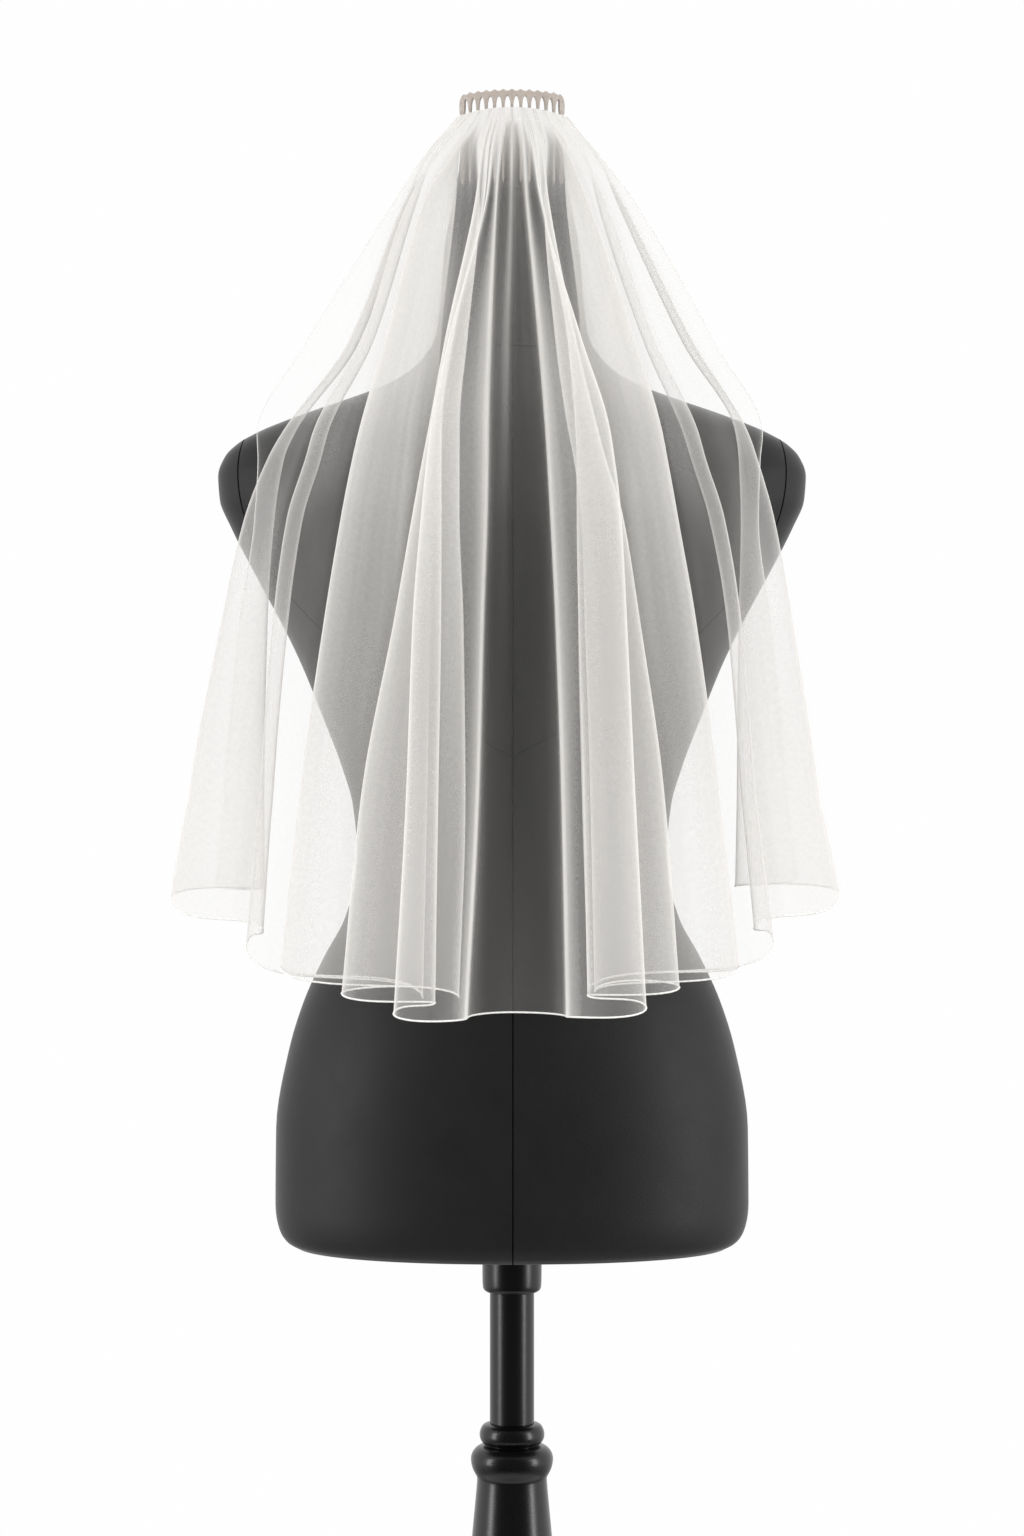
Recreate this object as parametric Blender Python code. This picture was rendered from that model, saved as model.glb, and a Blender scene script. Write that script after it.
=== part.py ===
"""One-tier bridal veil of gathered tulle on a hair comb, worn by a limbless dress form.

The veil hangs down the back of the form, which faces -Y. The origin is the centre
of the base's underside and +Z points up. Lengths in the tables are millimetres.
"""

import bmesh
import bpy
import numpy as np

MM = 0.001

# Gap kept between pieces that touch on the real object
SEAT_GAP = 0.3

# Cloth
WALL = 1.0
SPREAD_IN_FOLD = 0.75
FRONT_FOLD_BOW = 1.0
GATHER_DEPTH = 0.8
GATHER_END = 1450.0
FOLD_STEPS = (0.0, 0.13, 0.36, 0.64, 0.87)
ROW_HEIGHTS = (1471, 1456, 1442, 1426, 1408, 1362, 1312, 1282, 1262, 1247,
               1229, 1208, 1182, 1140, 1085, 1028, 975, 915, 857)

# Heights at which the folds' places are given, from the comb to the nominal hem
STATION_HEIGHTS = dict(comb=1471, brow=1442, collar=1408, neck=1312, shoulder=1250,
                       ledge=1229, blade=1188, back=1120, waist=999, hem=857)
BROW_SHARE_DEEP = 0.68

# How far behind the form's middle each fold line hangs. The folds lie in layers:
# the centre is on the form's back, A is the nearest to a viewer behind the form,
# and F, with the free edge, is the farthest round to the side.
DEPTH_COLUMNS = ("collar", "neck", "shoulder", "ledge", "blade", "waist", "hem")
DEPTHS = dict(
    M=(60, 75, 95, 100, 107, 107, 124),
    N=(66, 81, 103, 108, 116, 128, 146),
    A1=(78, 97, 119, 124, 133, 150, 168),
    B0=(73, 91, 113, 118, 127, 138, 156),
    B1=(68.5, 86, 108, 113, 121, 129, 146),
    C0=(63, 79, 102, 107, 115, 119, 136),
    C1=(58, 73, 97, 102.5, 109, 109, 125),
    D0=(52, 67, 92, 98, 104, 99, 113),
    D1=(46, 60, 86, 93, 98, 88, 94),
    E0=(41, 54, 77, 86, 92, 79, 80),
    E1=(35, 46, 70, 80, 86, 69, 66),
    F0=(30, 39, 65, 74.5, 80, 56, 49),
    F1=(25, 33, 55, 68, 74, 44, 34))

# How far each fold line hangs from the form's middle plane, and its height at the hem
PLACE_COLUMNS = ("comb", "brow", "collar", "neck", "shoulder", "ledge", "blade", "back",
                 "waist", "hem", "hem_height")
CENTRE = (0, -0.3, -0.7, -3.4, -4, -4, -2.7, -1.3, -0.7, 0, 857.5)
LEFT_FOLDS = dict(
    N=(-3, -7, -10.2, -14.2, -15.8, -16, -16.7, -19, -22.3, -29.7, 855),
    A1=(-6.8, -13, -17, -42, -54, -56.5, -60.3, -65.6, -69.9, -77.4, 859.5),
    B0=(-10, -16.5, -19, -39, -46.8, -47, -46.8, -47, -48.8, -50.4, 866),
    B1=(-13.2, -20.5, -25, -45, -55.6, -59.5, -66.6, -78.3, -100.5, -112.4, 871.5),
    C0=(-16.2, -23, -22, -30, -35, -35, -35, -32.4, -31, -35, 868),
    C1=(-19.8, -40, -60.2, -86.4, -102.4, -107, -114.6, -125.8, -142.3, -153.9, 887.5),
    D0=(-23.4, -36, -38.4, -48.4, -51.3, -52.6, -53.7, -55, -57, -59.5, 866.5),
    D1=(-26.8, -51, -72.1, -103, -133.6, -139.2, -151.5, -161, -171, -179.3, 898),
    E0=(-29.8, -53.5, -66, -95, -124, -129, -141, -151, -162, -168.5, 909.5),
    E1=(-32.6, -58, -76, -113, -155.4, -166, -181.2, -196.8, -220.3, -233.1, 931.5),
    F0=(-35.4, -59.5, -72, -106, -147, -155, -161, -166, -169.5, -169.9, 937.5),
    F1=(-38.2, -63, -85, -143.7, -174.5, -173, -175, -185.5, -197.9, -204.4, 940))
RIGHT_FOLDS = dict(
    N=(3.2, 6.8, 9.5, 17.6, 22.2, 23.5, 25.7, 29, 33.1, 36, 856),
    A1=(7, 14, 19, 46, 64.6, 67.9, 72.5, 75.9, 81.4, 87.8, 863.5),
    B0=(10.4, 17, 20, 37, 42, 43, 43, 44, 47, 49.5, 871),
    B1=(13.6, 21, 25, 43, 56.9, 62.2, 73.9, 84.9, 101.5, 110.4, 875.5),
    C0=(16.8, 23.5, 22, 29, 37, 40.9, 46.1, 48.4, 52.2, 54.5, 872),
    C1=(20.2, 38, 52, 83.7, 100.4, 104.2, 111.2, 123.1, 139, 151.3, 888),
    D0=(23.6, 35, 37, 46.3, 45.5, 45, 44.5, 44.5, 47, 51, 871.5),
    D1=(26.8, 48, 64.6, 97.7, 125, 130.5, 143, 154.3, 165.1, 176.7, 902),
    E0=(29.8, 50.5, 59, 90, 115, 121, 133, 145, 155.5, 164, 911),
    E1=(32.6, 58, 78, 125, 160, 166.5, 177.5, 190, 209.4, 223.5, 935),
    F0=(35.4, 59.5, 74, 118, 152, 154, 155, 154, 153.8, 153.1, 939),
    F1=(38.2, 63, 88.3, 141.3, 171.5, 169, 167.5, 176, 189.6, 196.8, 945.5))
# How far the hem of each stretch of cloth lifts (or dips) between its two fold lines
HEM_BOW = dict(M_N=0.0, N_A1=-2.0, A1_B0=1.5, B0_B1=-2.5, B1_C0=6.0, C0_C1=-2.0,
               C1_D0=4.0, D0_D1=-3.0, D1_E0=4.0, E0_E1=-3.0, E1_F0=4.0, F0_F1=-2.0)

# Comb, bent round the back of the neck
COMB_BEND_RADIUS = 60.0
COMB_BACK = 47.6
COMB_THICK = 2.6
COMB_WIDTH = 76.2
COMB_TEETH = 13
COMB_TOP = 1486.5
COMB_ARCH = 1.6
COMB_SCALLOP = 0.9
COMB_SPINE = 5.4
COMB_GAP_ARCH = 4.5
COMB_TOOTH_END = 1422.0
COMB_TOOTH = 2.0
COMB_END_TOOTH = 4.0
# Down a tooth from its root: share of its length and share of its width
COMB_TOOTH_TAPER = ((0.4, 0.94), (0.8, 0.84), (0.965, 0.66), (1.0, 0.3))
# Across a gap between teeth, where its arch is given points
COMB_GAP_STATIONS = (0.2, 0.5, 0.8)
VEIL_EDGE_CENTRE = 1473.5
VEIL_EDGE_DROP = 4.5

# Dress form: rings from the neck's top to the underside
FORM_COLUMNS = ("height", "half_width", "back", "front", "squareness")
FORM_RINGS = (
    (1465.0, 28.0, -35, 37, 2.0),
    (1464.0, 33.0, -40.5, 43, 2.0),
    (1460.0, 35.6, -43.6, 46, 2.0),
    (1442.0, 36.8, -45.0, 47.5, 2.0),
    (1412.0, 42.0, -46.5, 50, 2.0),
    (1383.0, 47.3, -49.5, 54, 2.0),
    (1347.0, 50.0, -54.5, 58, 2.0),
    (1322.0, 53.5, -60.0, 60, 2.0),
    (1308.0, 61.0, -64.5, 62, 2.0),
    (1293.0, 77.0, -70.0, 62, 2.1),
    (1284.0, 95.0, -74.0, 62, 2.1),
    (1275.0, 119.0, -78.0, 62, 2.15),
    (1265.0, 148.0, -81.0, 63, 2.2),
    (1254.0, 176.0, -84.0, 66, 2.2),
    (1245.0, 192.0, -86.0, 70, 2.25),
    (1236.0, 200.5, -88.0, 74, 2.3),
    (1223.0, 205.0, -90.0, 80, 2.4),
    (1207.0, 204.0, -93.0, 88, 2.4),
    (1186.0, 195.5, -95.5, 100, 2.35),
    (1148.0, 176.0, -97.5, 117, 2.3),
    (1120.0, 161.0, -96.0, 121, 2.25),
    (1093.0, 148.0, -92.5, 114, 2.2),
    (1058.0, 133.5, -86.5, 101, 2.2),
    (1020.0, 119.0, -80.0, 92, 2.2),
    (994.0, 111.5, -77.0, 86, 2.2),
    (962.0, 108.5, -76.0, 84, 2.2),
    (941.0, 110.0, -78.0, 85, 2.2),
    (915.0, 117.0, -84.5, 89, 2.2),
    (888.0, 131.5, -96.0, 95, 2.2),
    (857.0, 145.5, -107.5, 102, 2.2),
    (822.0, 156.0, -114.5, 106, 2.2),
    (770.0, 164.5, -118.5, 108, 2.2),
    (718.0, 165.0, -118.5, 108.5, 2.2),
    (700.0, 162.5, -116.5, 107, 2.2),
    (691.0, 157.0, -112.0, 102, 2.2),
    (687.0, 150.0, -106.0, 96, 2.2))
FORM_SIDES = 40

# Stand: each profile is (radius, height) down the outer side
STAND_SIDES = 32
BASE_SIDES = 56
COLLAR_PROFILE = ((20.8, 686.7), (20.8, 658.0), (19.8, 655.0), (17.5, 653.6))
POST_PROFILE = ((15.5, 653.3), (15.5, 562.0))
COLUMN_PROFILE = (
    (16.5, 561.7), (20.5, 560.6), (22.7, 556.0), (22.7, 551.5), (20.6, 547.8),
    (18.5, 546.6), (24.0, 545.6), (28.0, 541.4), (29.1, 536.3), (27.6, 529.5),
    (24.6, 524.6), (24.3, 522.5), (25.6, 508.0), (28.1, 482.0), (31.4, 440.0),
    (33.0, 398.0), (32.4, 350.0), (29.6, 298.0), (25.8, 245.0), (22.8, 196.0),
    (21.6, 160.0), (22.0, 152.0), (27.0, 149.0), (29.6, 143.0), (28.6, 136.5),
    (24.5, 132.0), (24.5, 126.0), (27.0, 100.0), (33.5, 72.0), (44.0, 52.0),
    (56.0, 43.3))
BASE_PROFILE = (
    (62.0, 43.0), (82.0, 39.0), (120.0, 33.0), (152.0, 28.0), (163.0, 25.5),
    (166.0, 22.5), (172.0, 20.0), (175.0, 15.0), (175.0, 4.0), (173.0, 0.0))

MATERIALS = dict(
    tulle=dict(color=(0.86, 0.85, 0.82), roughness=0.85),
    comb_plastic=dict(color=(0.57, 0.52, 0.47), roughness=0.35),
    form_cloth=dict(color=(0.02, 0.02, 0.021), roughness=0.9),
    stand_metal=dict(color=(0.016, 0.016, 0.016), roughness=0.35),
    stand_wood=dict(color=(0.016, 0.016, 0.016), roughness=0.4))


def monotone_curve(knots, values, at):
    """Cubic through the knots with no overshoot: each slope is the harmonic mean
    of its neighbours' slopes, or zero where they change sign. values may hold
    one curve a row; knots must rise."""
    knots = np.asarray(knots, float)
    values = np.atleast_2d(np.asarray(values, float))
    steps = np.diff(knots)
    slopes = np.diff(values, axis=1) / steps
    before = slopes[:, :-1]
    after = slopes[:, 1:]
    product = before * after
    total = before + after
    total[total == 0] = 1.0
    inner = np.where(product > 0, 2.0 * product / total, 0.0)
    tangents = np.concatenate([slopes[:, :1], inner, slopes[:, -1:]], axis=1)
    cell = np.clip(np.searchsorted(knots, at, side="right") - 1, 0, len(steps) - 1)
    t = (at - knots[cell]) / steps[cell]
    left = values[:, cell]
    right = values[:, cell + 1]
    bend_left = tangents[:, cell] * steps[cell]
    bend_right = tangents[:, cell + 1] * steps[cell]
    return (left * (2 * t**3 - 3 * t**2 + 1) + bend_left * (t**3 - 2 * t**2 + t)
            + right * (3 * t**2 - 2 * t**3) + bend_right * (t**3 - t**2))


def fold_chain():
    """Fold names and place rows from the left free edge to the right one."""
    left = [(name, LEFT_FOLDS[name]) for name in reversed(LEFT_FOLDS)]
    right = [(name, RIGHT_FOLDS[name]) for name in RIGHT_FOLDS]
    return left + [("M", CENTRE)] + right


def comb_depth(across):
    """How far behind the middle the comb's outer face is, across its width."""
    outer = COMB_BEND_RADIUS + COMB_THICK / 2
    reach = np.minimum(np.abs(across), outer * 0.95)
    return COMB_BACK + np.sqrt(outer**2 - reach**2) - COMB_BEND_RADIUS


def fold_lines():
    """Every fold line's points, fold by row by (x, y, z), in millimetres."""
    chain = fold_chain()
    stations = list(STATION_HEIGHTS)
    heights = np.array([STATION_HEIGHTS[name] for name in stations], float)
    places = {name: np.array([row[PLACE_COLUMNS.index(name)] for _, row in chain], float)
              for name in PLACE_COLUMNS}
    depths = {name: np.array([DEPTHS[fold][DEPTH_COLUMNS.index(name)] for fold, _ in chain],
                             float) for name in DEPTH_COLUMNS}
    depths["comb"] = comb_depth(places["comb"]) + SEAT_GAP + WALL / 2 + GATHER_DEPTH
    depths["brow"] = depths["comb"] + BROW_SHARE_DEEP * (depths["collar"] - depths["comb"])

    order = np.argsort(heights)
    rows = np.array(ROW_HEIGHTS, float)
    across_table = np.stack([places[stations[i]] for i in order], axis=1)
    across = monotone_curve(heights[order], across_table, rows)
    deep_names = [stations[i] for i in order if stations[i] in depths]
    deep_heights = np.array([STATION_HEIGHTS[name] for name in deep_names], float)
    deep_table = np.stack([depths[name] for name in deep_names], axis=1)
    deep = monotone_curve(deep_heights, deep_table, rows)

    # The rows below the waist are stretched so that the last one meets each fold's hem
    waist = STATION_HEIGHTS["waist"]
    hem = STATION_HEIGHTS["hem"]
    hem_share = np.clip((waist - rows) / (waist - hem), 0, 1)
    lift = (places["hem_height"] - hem)[:, None] * hem_share[None, :]
    # and those above the collar so that the first one follows the comb's arch
    edge = VEIL_EDGE_CENTRE - VEIL_EDGE_DROP * (places["comb"] / (COMB_WIDTH / 2))**2
    top = STATION_HEIGHTS["comb"]
    collar = STATION_HEIGHTS["collar"]
    top_share = np.clip((rows - collar) / (top - collar), 0, 1)
    lift = lift + (edge - top)[:, None] * top_share[None, :]
    return np.stack([across, -deep, rows[None, :] + lift], axis=2)


def cloth_grid(lines, steps=FOLD_STEPS):
    """The cloth between the fold lines, column by row by (x, y, z). Across a fold
    the cloth eases into each fold line, so that it turns round there, while its
    depth, and at the hem its height, run on; at the comb it is spread evenly and
    ripples into gathers."""
    first = lines[:-1, None]
    span = lines[1:, None] - first
    t = np.array(steps)[None, :, None]
    rows = lines[:, :, 2].mean(axis=0)
    top = STATION_HEIGHTS["comb"]
    collar = STATION_HEIGHTS["collar"]
    turned = np.clip((top - rows) / (top - collar), 0, 1)[None, None, :]
    sides = len(lines) - 1
    even = (1 - np.cos(np.pi * t)) / 2
    eased = np.repeat(even, sides, axis=0)
    lead = t + SPREAD_IN_FOLD * np.sin(2 * np.pi * t) / (2 * np.pi)
    lead = np.repeat(lead, sides, axis=0)
    # Either side of the centre line the panel turns at its outer fold alone
    middle = len(lines) // 2
    eased[middle - 1] = 1 - np.cos(np.pi * t[0] / 2)
    lead[middle - 1] = np.sin(np.pi * t[0] / 2)
    eased[middle] = np.sin(np.pi * t[0] / 2)
    lead[middle] = 1 - np.cos(np.pi * t[0] / 2)
    across = first[..., 0] + span[..., 0] * ((1 - turned) * t + turned * eased)
    deep = first[..., 1] + span[..., 1] * ((1 - turned) * t + turned * lead)
    waist = STATION_HEIGHTS["waist"]
    hem = STATION_HEIGHTS["hem"]
    low = np.clip((waist - np.array(ROW_HEIGHTS)) / (waist - hem), 0, 1)[None, None, :]
    bow = np.array(list(reversed(HEM_BOW.values())) + list(HEM_BOW.values()))[:, None, None]
    height = first[..., 2] + span[..., 2] * np.where(low > 0, lead, even)
    height = height + bow * low**2 * np.sin(np.pi * t)

    # The front of fold A, beside the centre, bellies out past its own fold line
    for fold in (middle - 2, middle + 1):
        reach = np.abs(span[fold, :, :, 1])
        deep[fold] -= FRONT_FOLD_BOW * reach * np.sin(np.pi * t[0]) * turned[0]

    sign = np.where(np.arange(len(lines) - 1) % 2, -1.0, 1.0)[:, None, None]
    gathered = np.clip((rows - GATHER_END) / (top - GATHER_END), 0, 1)[None, None, :]
    deep = deep + sign * GATHER_DEPTH * gathered * np.cos(np.pi * t)
    grid = np.stack([across, deep, height], axis=3)
    grid = grid.reshape(-1, lines.shape[1], 3)
    last = lines[-1:].copy()
    last[..., 1] += -sign[-1, 0, 0] * GATHER_DEPTH * gathered[0, 0]
    return np.concatenate([grid, last], axis=0)


def material(name):
    """A Principled material from the table above."""
    made = bpy.data.materials.new(name)
    made.use_nodes = True
    shader = made.node_tree.nodes["Principled BSDF"]
    shader.inputs["Base Color"].default_value = (*MATERIALS[name]["color"], 1.0)
    shader.inputs["Roughness"].default_value = MATERIALS[name]["roughness"]
    return made


def add_object(name, points, faces, finish, smooth=True):
    """A named object from points in millimetres, with its normals pointing out."""
    mesh = bpy.data.meshes.new(name)
    mesh.from_pydata((np.asarray(points, float) * MM).tolist(), [], faces)
    work = bmesh.new()
    work.from_mesh(mesh)
    bmesh.ops.recalc_face_normals(work, faces=work.faces)
    work.to_mesh(mesh)
    work.free()
    if smooth:
        mesh.shade_smooth()
        mesh.set_sharp_from_angle(angle=0.7)
    made = bpy.data.objects.new(name, mesh)
    mesh.materials.append(finish)
    bpy.context.scene.collection.objects.link(made)
    return made


def sheet_faces(columns, rows):
    """Quads of a grid whose points run row after row inside each column."""
    return [(c * rows + r, c * rows + r + 1, (c + 1) * rows + r + 1, (c + 1) * rows + r)
            for c in range(columns - 1) for r in range(rows - 1)]


def give_wall(made, thick):
    """Turns a sheet into a closed wall, half its thickness to each side."""
    wall = made.modifiers.new("wall", "SOLIDIFY")
    wall.thickness = thick * MM
    wall.offset = 0.0
    wall.use_rim = True
    wall.use_even_offset = False


def add_veil(finish):
    """The tulle panel, from its gathered edge at the comb to the hem."""
    grid = cloth_grid(fold_lines())
    columns, rows = grid.shape[:2]
    made = add_object("veil_panel", grid.reshape(-1, 3), sheet_faces(columns, rows), finish)
    give_wall(made, WALL)
    return made


def comb_columns():
    """Stations across the comb: (place, tooth number or -1) with the gaps between."""
    half = COMB_WIDTH / 2
    centres = np.linspace(-half + COMB_END_TOOTH / 2, half - COMB_END_TOOTH / 2, COMB_TEETH)
    widths = np.full(COMB_TEETH, COMB_TOOTH)
    widths[0] = widths[-1] = COMB_END_TOOTH
    stations = []
    for tooth, (centre, width) in enumerate(zip(centres, widths)):
        stations += [(centre - width / 2, tooth), (centre + width / 2, tooth)]
        if tooth < COMB_TEETH - 1:
            start = centre + width / 2
            end = centres[tooth + 1] - widths[tooth + 1] / 2
            stations += [(start + (end - start) * share, -1) for share in COMB_GAP_STATIONS]
    return stations


def comb_point(place, height):
    """A point of the comb's middle surface, bent about an upright axis."""
    angle = place / COMB_BEND_RADIUS
    return (COMB_BEND_RADIUS * np.sin(angle),
            -(COMB_BACK + COMB_BEND_RADIUS * (np.cos(angle) - 1)), height)


def add_comb(finish):
    """The comb: a scalloped spine over arched gaps, and its teeth."""
    stations = comb_columns()
    half = COMB_WIDTH / 2
    pitch = (COMB_WIDTH - COMB_END_TOOTH) / (COMB_TEETH - 1)
    points = []
    faces = []
    for place, tooth in stations:
        arch = COMB_ARCH * (place / half)**2
        wave = COMB_SCALLOP * (1 + np.cos(2 * np.pi * place / pitch)) / 2
        points.append(comb_point(place, COMB_TOP - arch - COMB_SCALLOP + wave))
        points.append(comb_point(place, COMB_TOP - arch - COMB_SPINE
                                 - (COMB_GAP_ARCH if tooth >= 0 else 0)))
    for index in range(len(stations) - 1):
        a = 2 * index
        faces.append((a, a + 1, a + 3, a + 2))
    # Each tooth narrows to a rounded end
    for index in range(len(stations) - 1):
        if stations[index][1] < 0 or stations[index][1] != stations[index + 1][1]:
            continue
        left = stations[index][0]
        right = stations[index + 1][0]
        middle = (left + right) / 2
        top = (2 * index + 1, 2 * index + 3)
        root = points[top[0]][2]
        for share, width in COMB_TOOTH_TAPER:
            height = root + (COMB_TOOTH_END - root) * share
            reach = (right - left) / 2 * width
            start = len(points)
            points.append(comb_point(middle - reach, height))
            points.append(comb_point(middle + reach, height))
            faces.append((top[0], start, start + 1, top[1]))
            top = (start, start + 1)
    made = add_object("hair_comb", points, faces, finish)
    give_wall(made, COMB_THICK)
    return made


def form_ring(row, sides):
    """One ring of the form: a rounded oval with its own back and front depth."""
    ring = dict(zip(FORM_COLUMNS, row))
    power = 2 / ring["squareness"]
    turn = np.linspace(0, 2 * np.pi, sides, endpoint=False)
    across = np.sign(np.cos(turn)) * np.abs(np.cos(turn))**power
    deep = np.sign(np.sin(turn)) * np.abs(np.sin(turn))**power
    middle = (ring["back"] + ring["front"]) / 2
    reach = (ring["front"] - ring["back"]) / 2
    return np.stack([ring["half_width"] * across, middle + reach * deep,
                     np.full(sides, ring["height"])], axis=1)


def closed_rings(rings):
    """Points and faces of a body through equal rings, closed by a centre point
    at each end."""
    sides = len(rings[0])
    points = np.concatenate(rings + [rings[0].mean(axis=0)[None], rings[-1].mean(axis=0)[None]])
    faces = []
    for level in range(len(rings) - 1):
        for side in range(sides):
            following = (side + 1) % sides
            faces.append((level * sides + side, level * sides + following,
                          (level + 1) * sides + following, (level + 1) * sides + side))
    first_centre = len(rings) * sides
    last = (len(rings) - 1) * sides
    for side in range(sides):
        following = (side + 1) % sides
        faces.append((side, first_centre, following))
        faces.append((last + side, last + following, first_centre + 1))
    return points, faces


def add_form(finish):
    """The limbless form: neck, shoulders, bust, waist and hips in one body."""
    points, faces = closed_rings([form_ring(row, FORM_SIDES) for row in FORM_RINGS])
    return add_object("form_body", points, faces, finish)


def add_turned(name, profile, sides, finish):
    """A turned piece about the stand's axis."""
    turn = np.linspace(0, 2 * np.pi, sides, endpoint=False)
    rings = [np.stack([radius * np.cos(turn), radius * np.sin(turn),
                       np.full(sides, height)], axis=1) for radius, height in profile]
    points, faces = closed_rings(rings)
    return add_object(name, points, faces, finish)


def main():
    for old in list(bpy.data.objects):
        bpy.data.objects.remove(old, do_unlink=True)
    finishes = {name: material(name) for name in MATERIALS}
    stand = bpy.data.objects.new("veil_on_form", None)
    bpy.context.scene.collection.objects.link(stand)
    pieces = [
        add_veil(finishes["tulle"]),
        add_comb(finishes["comb_plastic"]),
        add_form(finishes["form_cloth"]),
        add_turned("stand_collar", COLLAR_PROFILE, STAND_SIDES, finishes["stand_metal"]),
        add_turned("stand_post", POST_PROFILE, STAND_SIDES, finishes["stand_metal"]),
        add_turned("stand_column", COLUMN_PROFILE, STAND_SIDES, finishes["stand_wood"]),
        add_turned("stand_base", BASE_PROFILE, BASE_SIDES, finishes["stand_wood"]),
    ]
    for piece in pieces:
        piece.parent = stand


main()
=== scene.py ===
"""A short one-tier bridal veil of gathered tulle on a hair comb, on a limbless dress form.

The veil hangs down the form's back, which faces -Y; +Z is up and the floor is z = 0.
Tables are in millimetres, as the maker of the pattern would keep them.
"""

import bpy
import numpy as np
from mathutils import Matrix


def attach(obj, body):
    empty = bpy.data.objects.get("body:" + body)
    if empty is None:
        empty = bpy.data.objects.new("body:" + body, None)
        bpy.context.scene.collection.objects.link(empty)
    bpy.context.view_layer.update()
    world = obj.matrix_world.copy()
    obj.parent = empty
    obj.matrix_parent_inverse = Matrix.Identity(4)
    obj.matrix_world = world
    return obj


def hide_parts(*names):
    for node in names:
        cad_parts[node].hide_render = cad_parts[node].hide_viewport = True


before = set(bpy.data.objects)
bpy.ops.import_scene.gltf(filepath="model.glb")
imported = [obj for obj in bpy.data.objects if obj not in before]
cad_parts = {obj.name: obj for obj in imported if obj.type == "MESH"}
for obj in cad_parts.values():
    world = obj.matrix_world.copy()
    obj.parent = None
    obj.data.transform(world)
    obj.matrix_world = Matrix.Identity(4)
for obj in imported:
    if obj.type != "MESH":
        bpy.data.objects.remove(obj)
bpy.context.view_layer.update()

scene = bpy.context.scene
MM = 0.001

# Camera: its place in metres, level and square on, with its lens and film in millimetres
CAMERA_PLACE = (0.0, -2.5, 1.02)
CAMERA_LENS = 83.7
CAMERA_FILM = 36.0

camera = bpy.data.objects.new("camera", bpy.data.cameras.new("camera"))
camera.location = CAMERA_PLACE
camera.rotation_euler = (np.pi / 2, 0.0, 0.0)
camera.data.lens = CAMERA_LENS
camera.data.sensor_width = CAMERA_FILM
scene.collection.objects.link(camera)
scene.camera = camera

# The veil's pattern: the cloth's clearance and thickness at the comb, how evenly it
# runs through a fold, how far the front folds belly out for their depth, and how deep
# and how far down it is gathered
SEAT_GAP = 0.3
WALL = 1.0
SPREAD_IN_FOLD = 0.75
FRONT_FOLD_BOW = 1.0
GATHER_DEPTH = 0.8
GATHER_END = 1450.0

# Heights at which the pattern's tables give their values
STATION_HEIGHTS = dict(comb=1471, brow=1442, collar=1408, neck=1312, shoulder=1250,
                       ledge=1229, blade=1188, back=1120, waist=999, hem=857)
COMB_ROW = STATION_HEIGHTS["comb"]
COLLAR_ROW = STATION_HEIGHTS["collar"]
WAIST_ROW = STATION_HEIGHTS["waist"]
HEM_ROW = STATION_HEIGHTS["hem"]
# At the brow the veil is this share of the way from its depth at the comb to the collar
BROW_SHARE_DEEP = 0.68

# How far behind the form's middle each fold line hangs: M is the middle of the back,
# A the fold nearest to a viewer behind the form, and F, with the free edge, the last
DEPTH_COLUMNS = ("collar", "neck", "shoulder", "ledge", "blade", "waist", "hem")
DEPTHS = dict(
    M=(60, 75, 95, 100, 107, 107, 124),
    N=(66, 81, 103, 108, 116, 128, 146),
    A1=(78, 97, 119, 124, 133, 150, 168),
    B0=(73, 91, 113, 118, 127, 138, 156),
    B1=(68.5, 86, 108, 113, 121, 129, 146),
    C0=(63, 79, 102, 107, 115, 119, 136),
    C1=(58, 73, 97, 102.5, 109, 109, 125),
    D0=(52, 67, 92, 98, 104, 99, 113),
    D1=(46, 60, 86, 93, 98, 88, 94),
    E0=(41, 54, 77, 86, 92, 79, 80),
    E1=(35, 46, 70, 80, 86, 69, 66),
    F0=(30, 39, 65, 74.5, 80, 56, 49),
    F1=(25, 33, 55, 68, 74, 44, 34))

# How far each fold line hangs from the middle, and its height at the hem
PLACE_COLUMNS = ("comb", "brow", "collar", "neck", "shoulder", "ledge", "blade", "back",
                 "waist", "hem", "hem_height")
CENTRE = (0, -0.3, -0.7, -3.4, -4, -4, -2.7, -1.3, -0.7, 0, 857.5)
LEFT_FOLDS = dict(
    N=(-3, -7, -10.2, -14.2, -15.8, -16, -16.7, -19, -22.3, -29.7, 855),
    A1=(-6.8, -13, -17, -42, -54, -56.5, -60.3, -65.6, -69.9, -77.4, 859.5),
    B0=(-10, -16.5, -19, -39, -46.8, -47, -46.8, -47, -48.8, -50.4, 866),
    B1=(-13.2, -20.5, -25, -45, -55.6, -59.5, -66.6, -78.3, -100.5, -112.4, 871.5),
    C0=(-16.2, -23, -22, -30, -35, -35, -35, -32.4, -31, -35, 868),
    C1=(-19.8, -40, -60.2, -86.4, -102.4, -107, -114.6, -125.8, -142.3, -153.9, 887.5),
    D0=(-23.4, -36, -38.4, -48.4, -51.3, -52.6, -53.7, -55, -57, -59.5, 866.5),
    D1=(-26.8, -51, -72.1, -103, -133.6, -139.2, -151.5, -161, -171, -179.3, 898),
    E0=(-29.8, -53.5, -66, -95, -124, -129, -141, -151, -162, -168.5, 909.5),
    E1=(-32.6, -58, -76, -113, -155.4, -166, -181.2, -196.8, -220.3, -233.1, 931.5),
    F0=(-35.4, -59.5, -72, -106, -147, -155, -161, -166, -169.5, -169.9, 937.5),
    F1=(-38.2, -63, -85, -143.7, -174.5, -173, -175, -185.5, -197.9, -204.4, 940))
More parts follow.
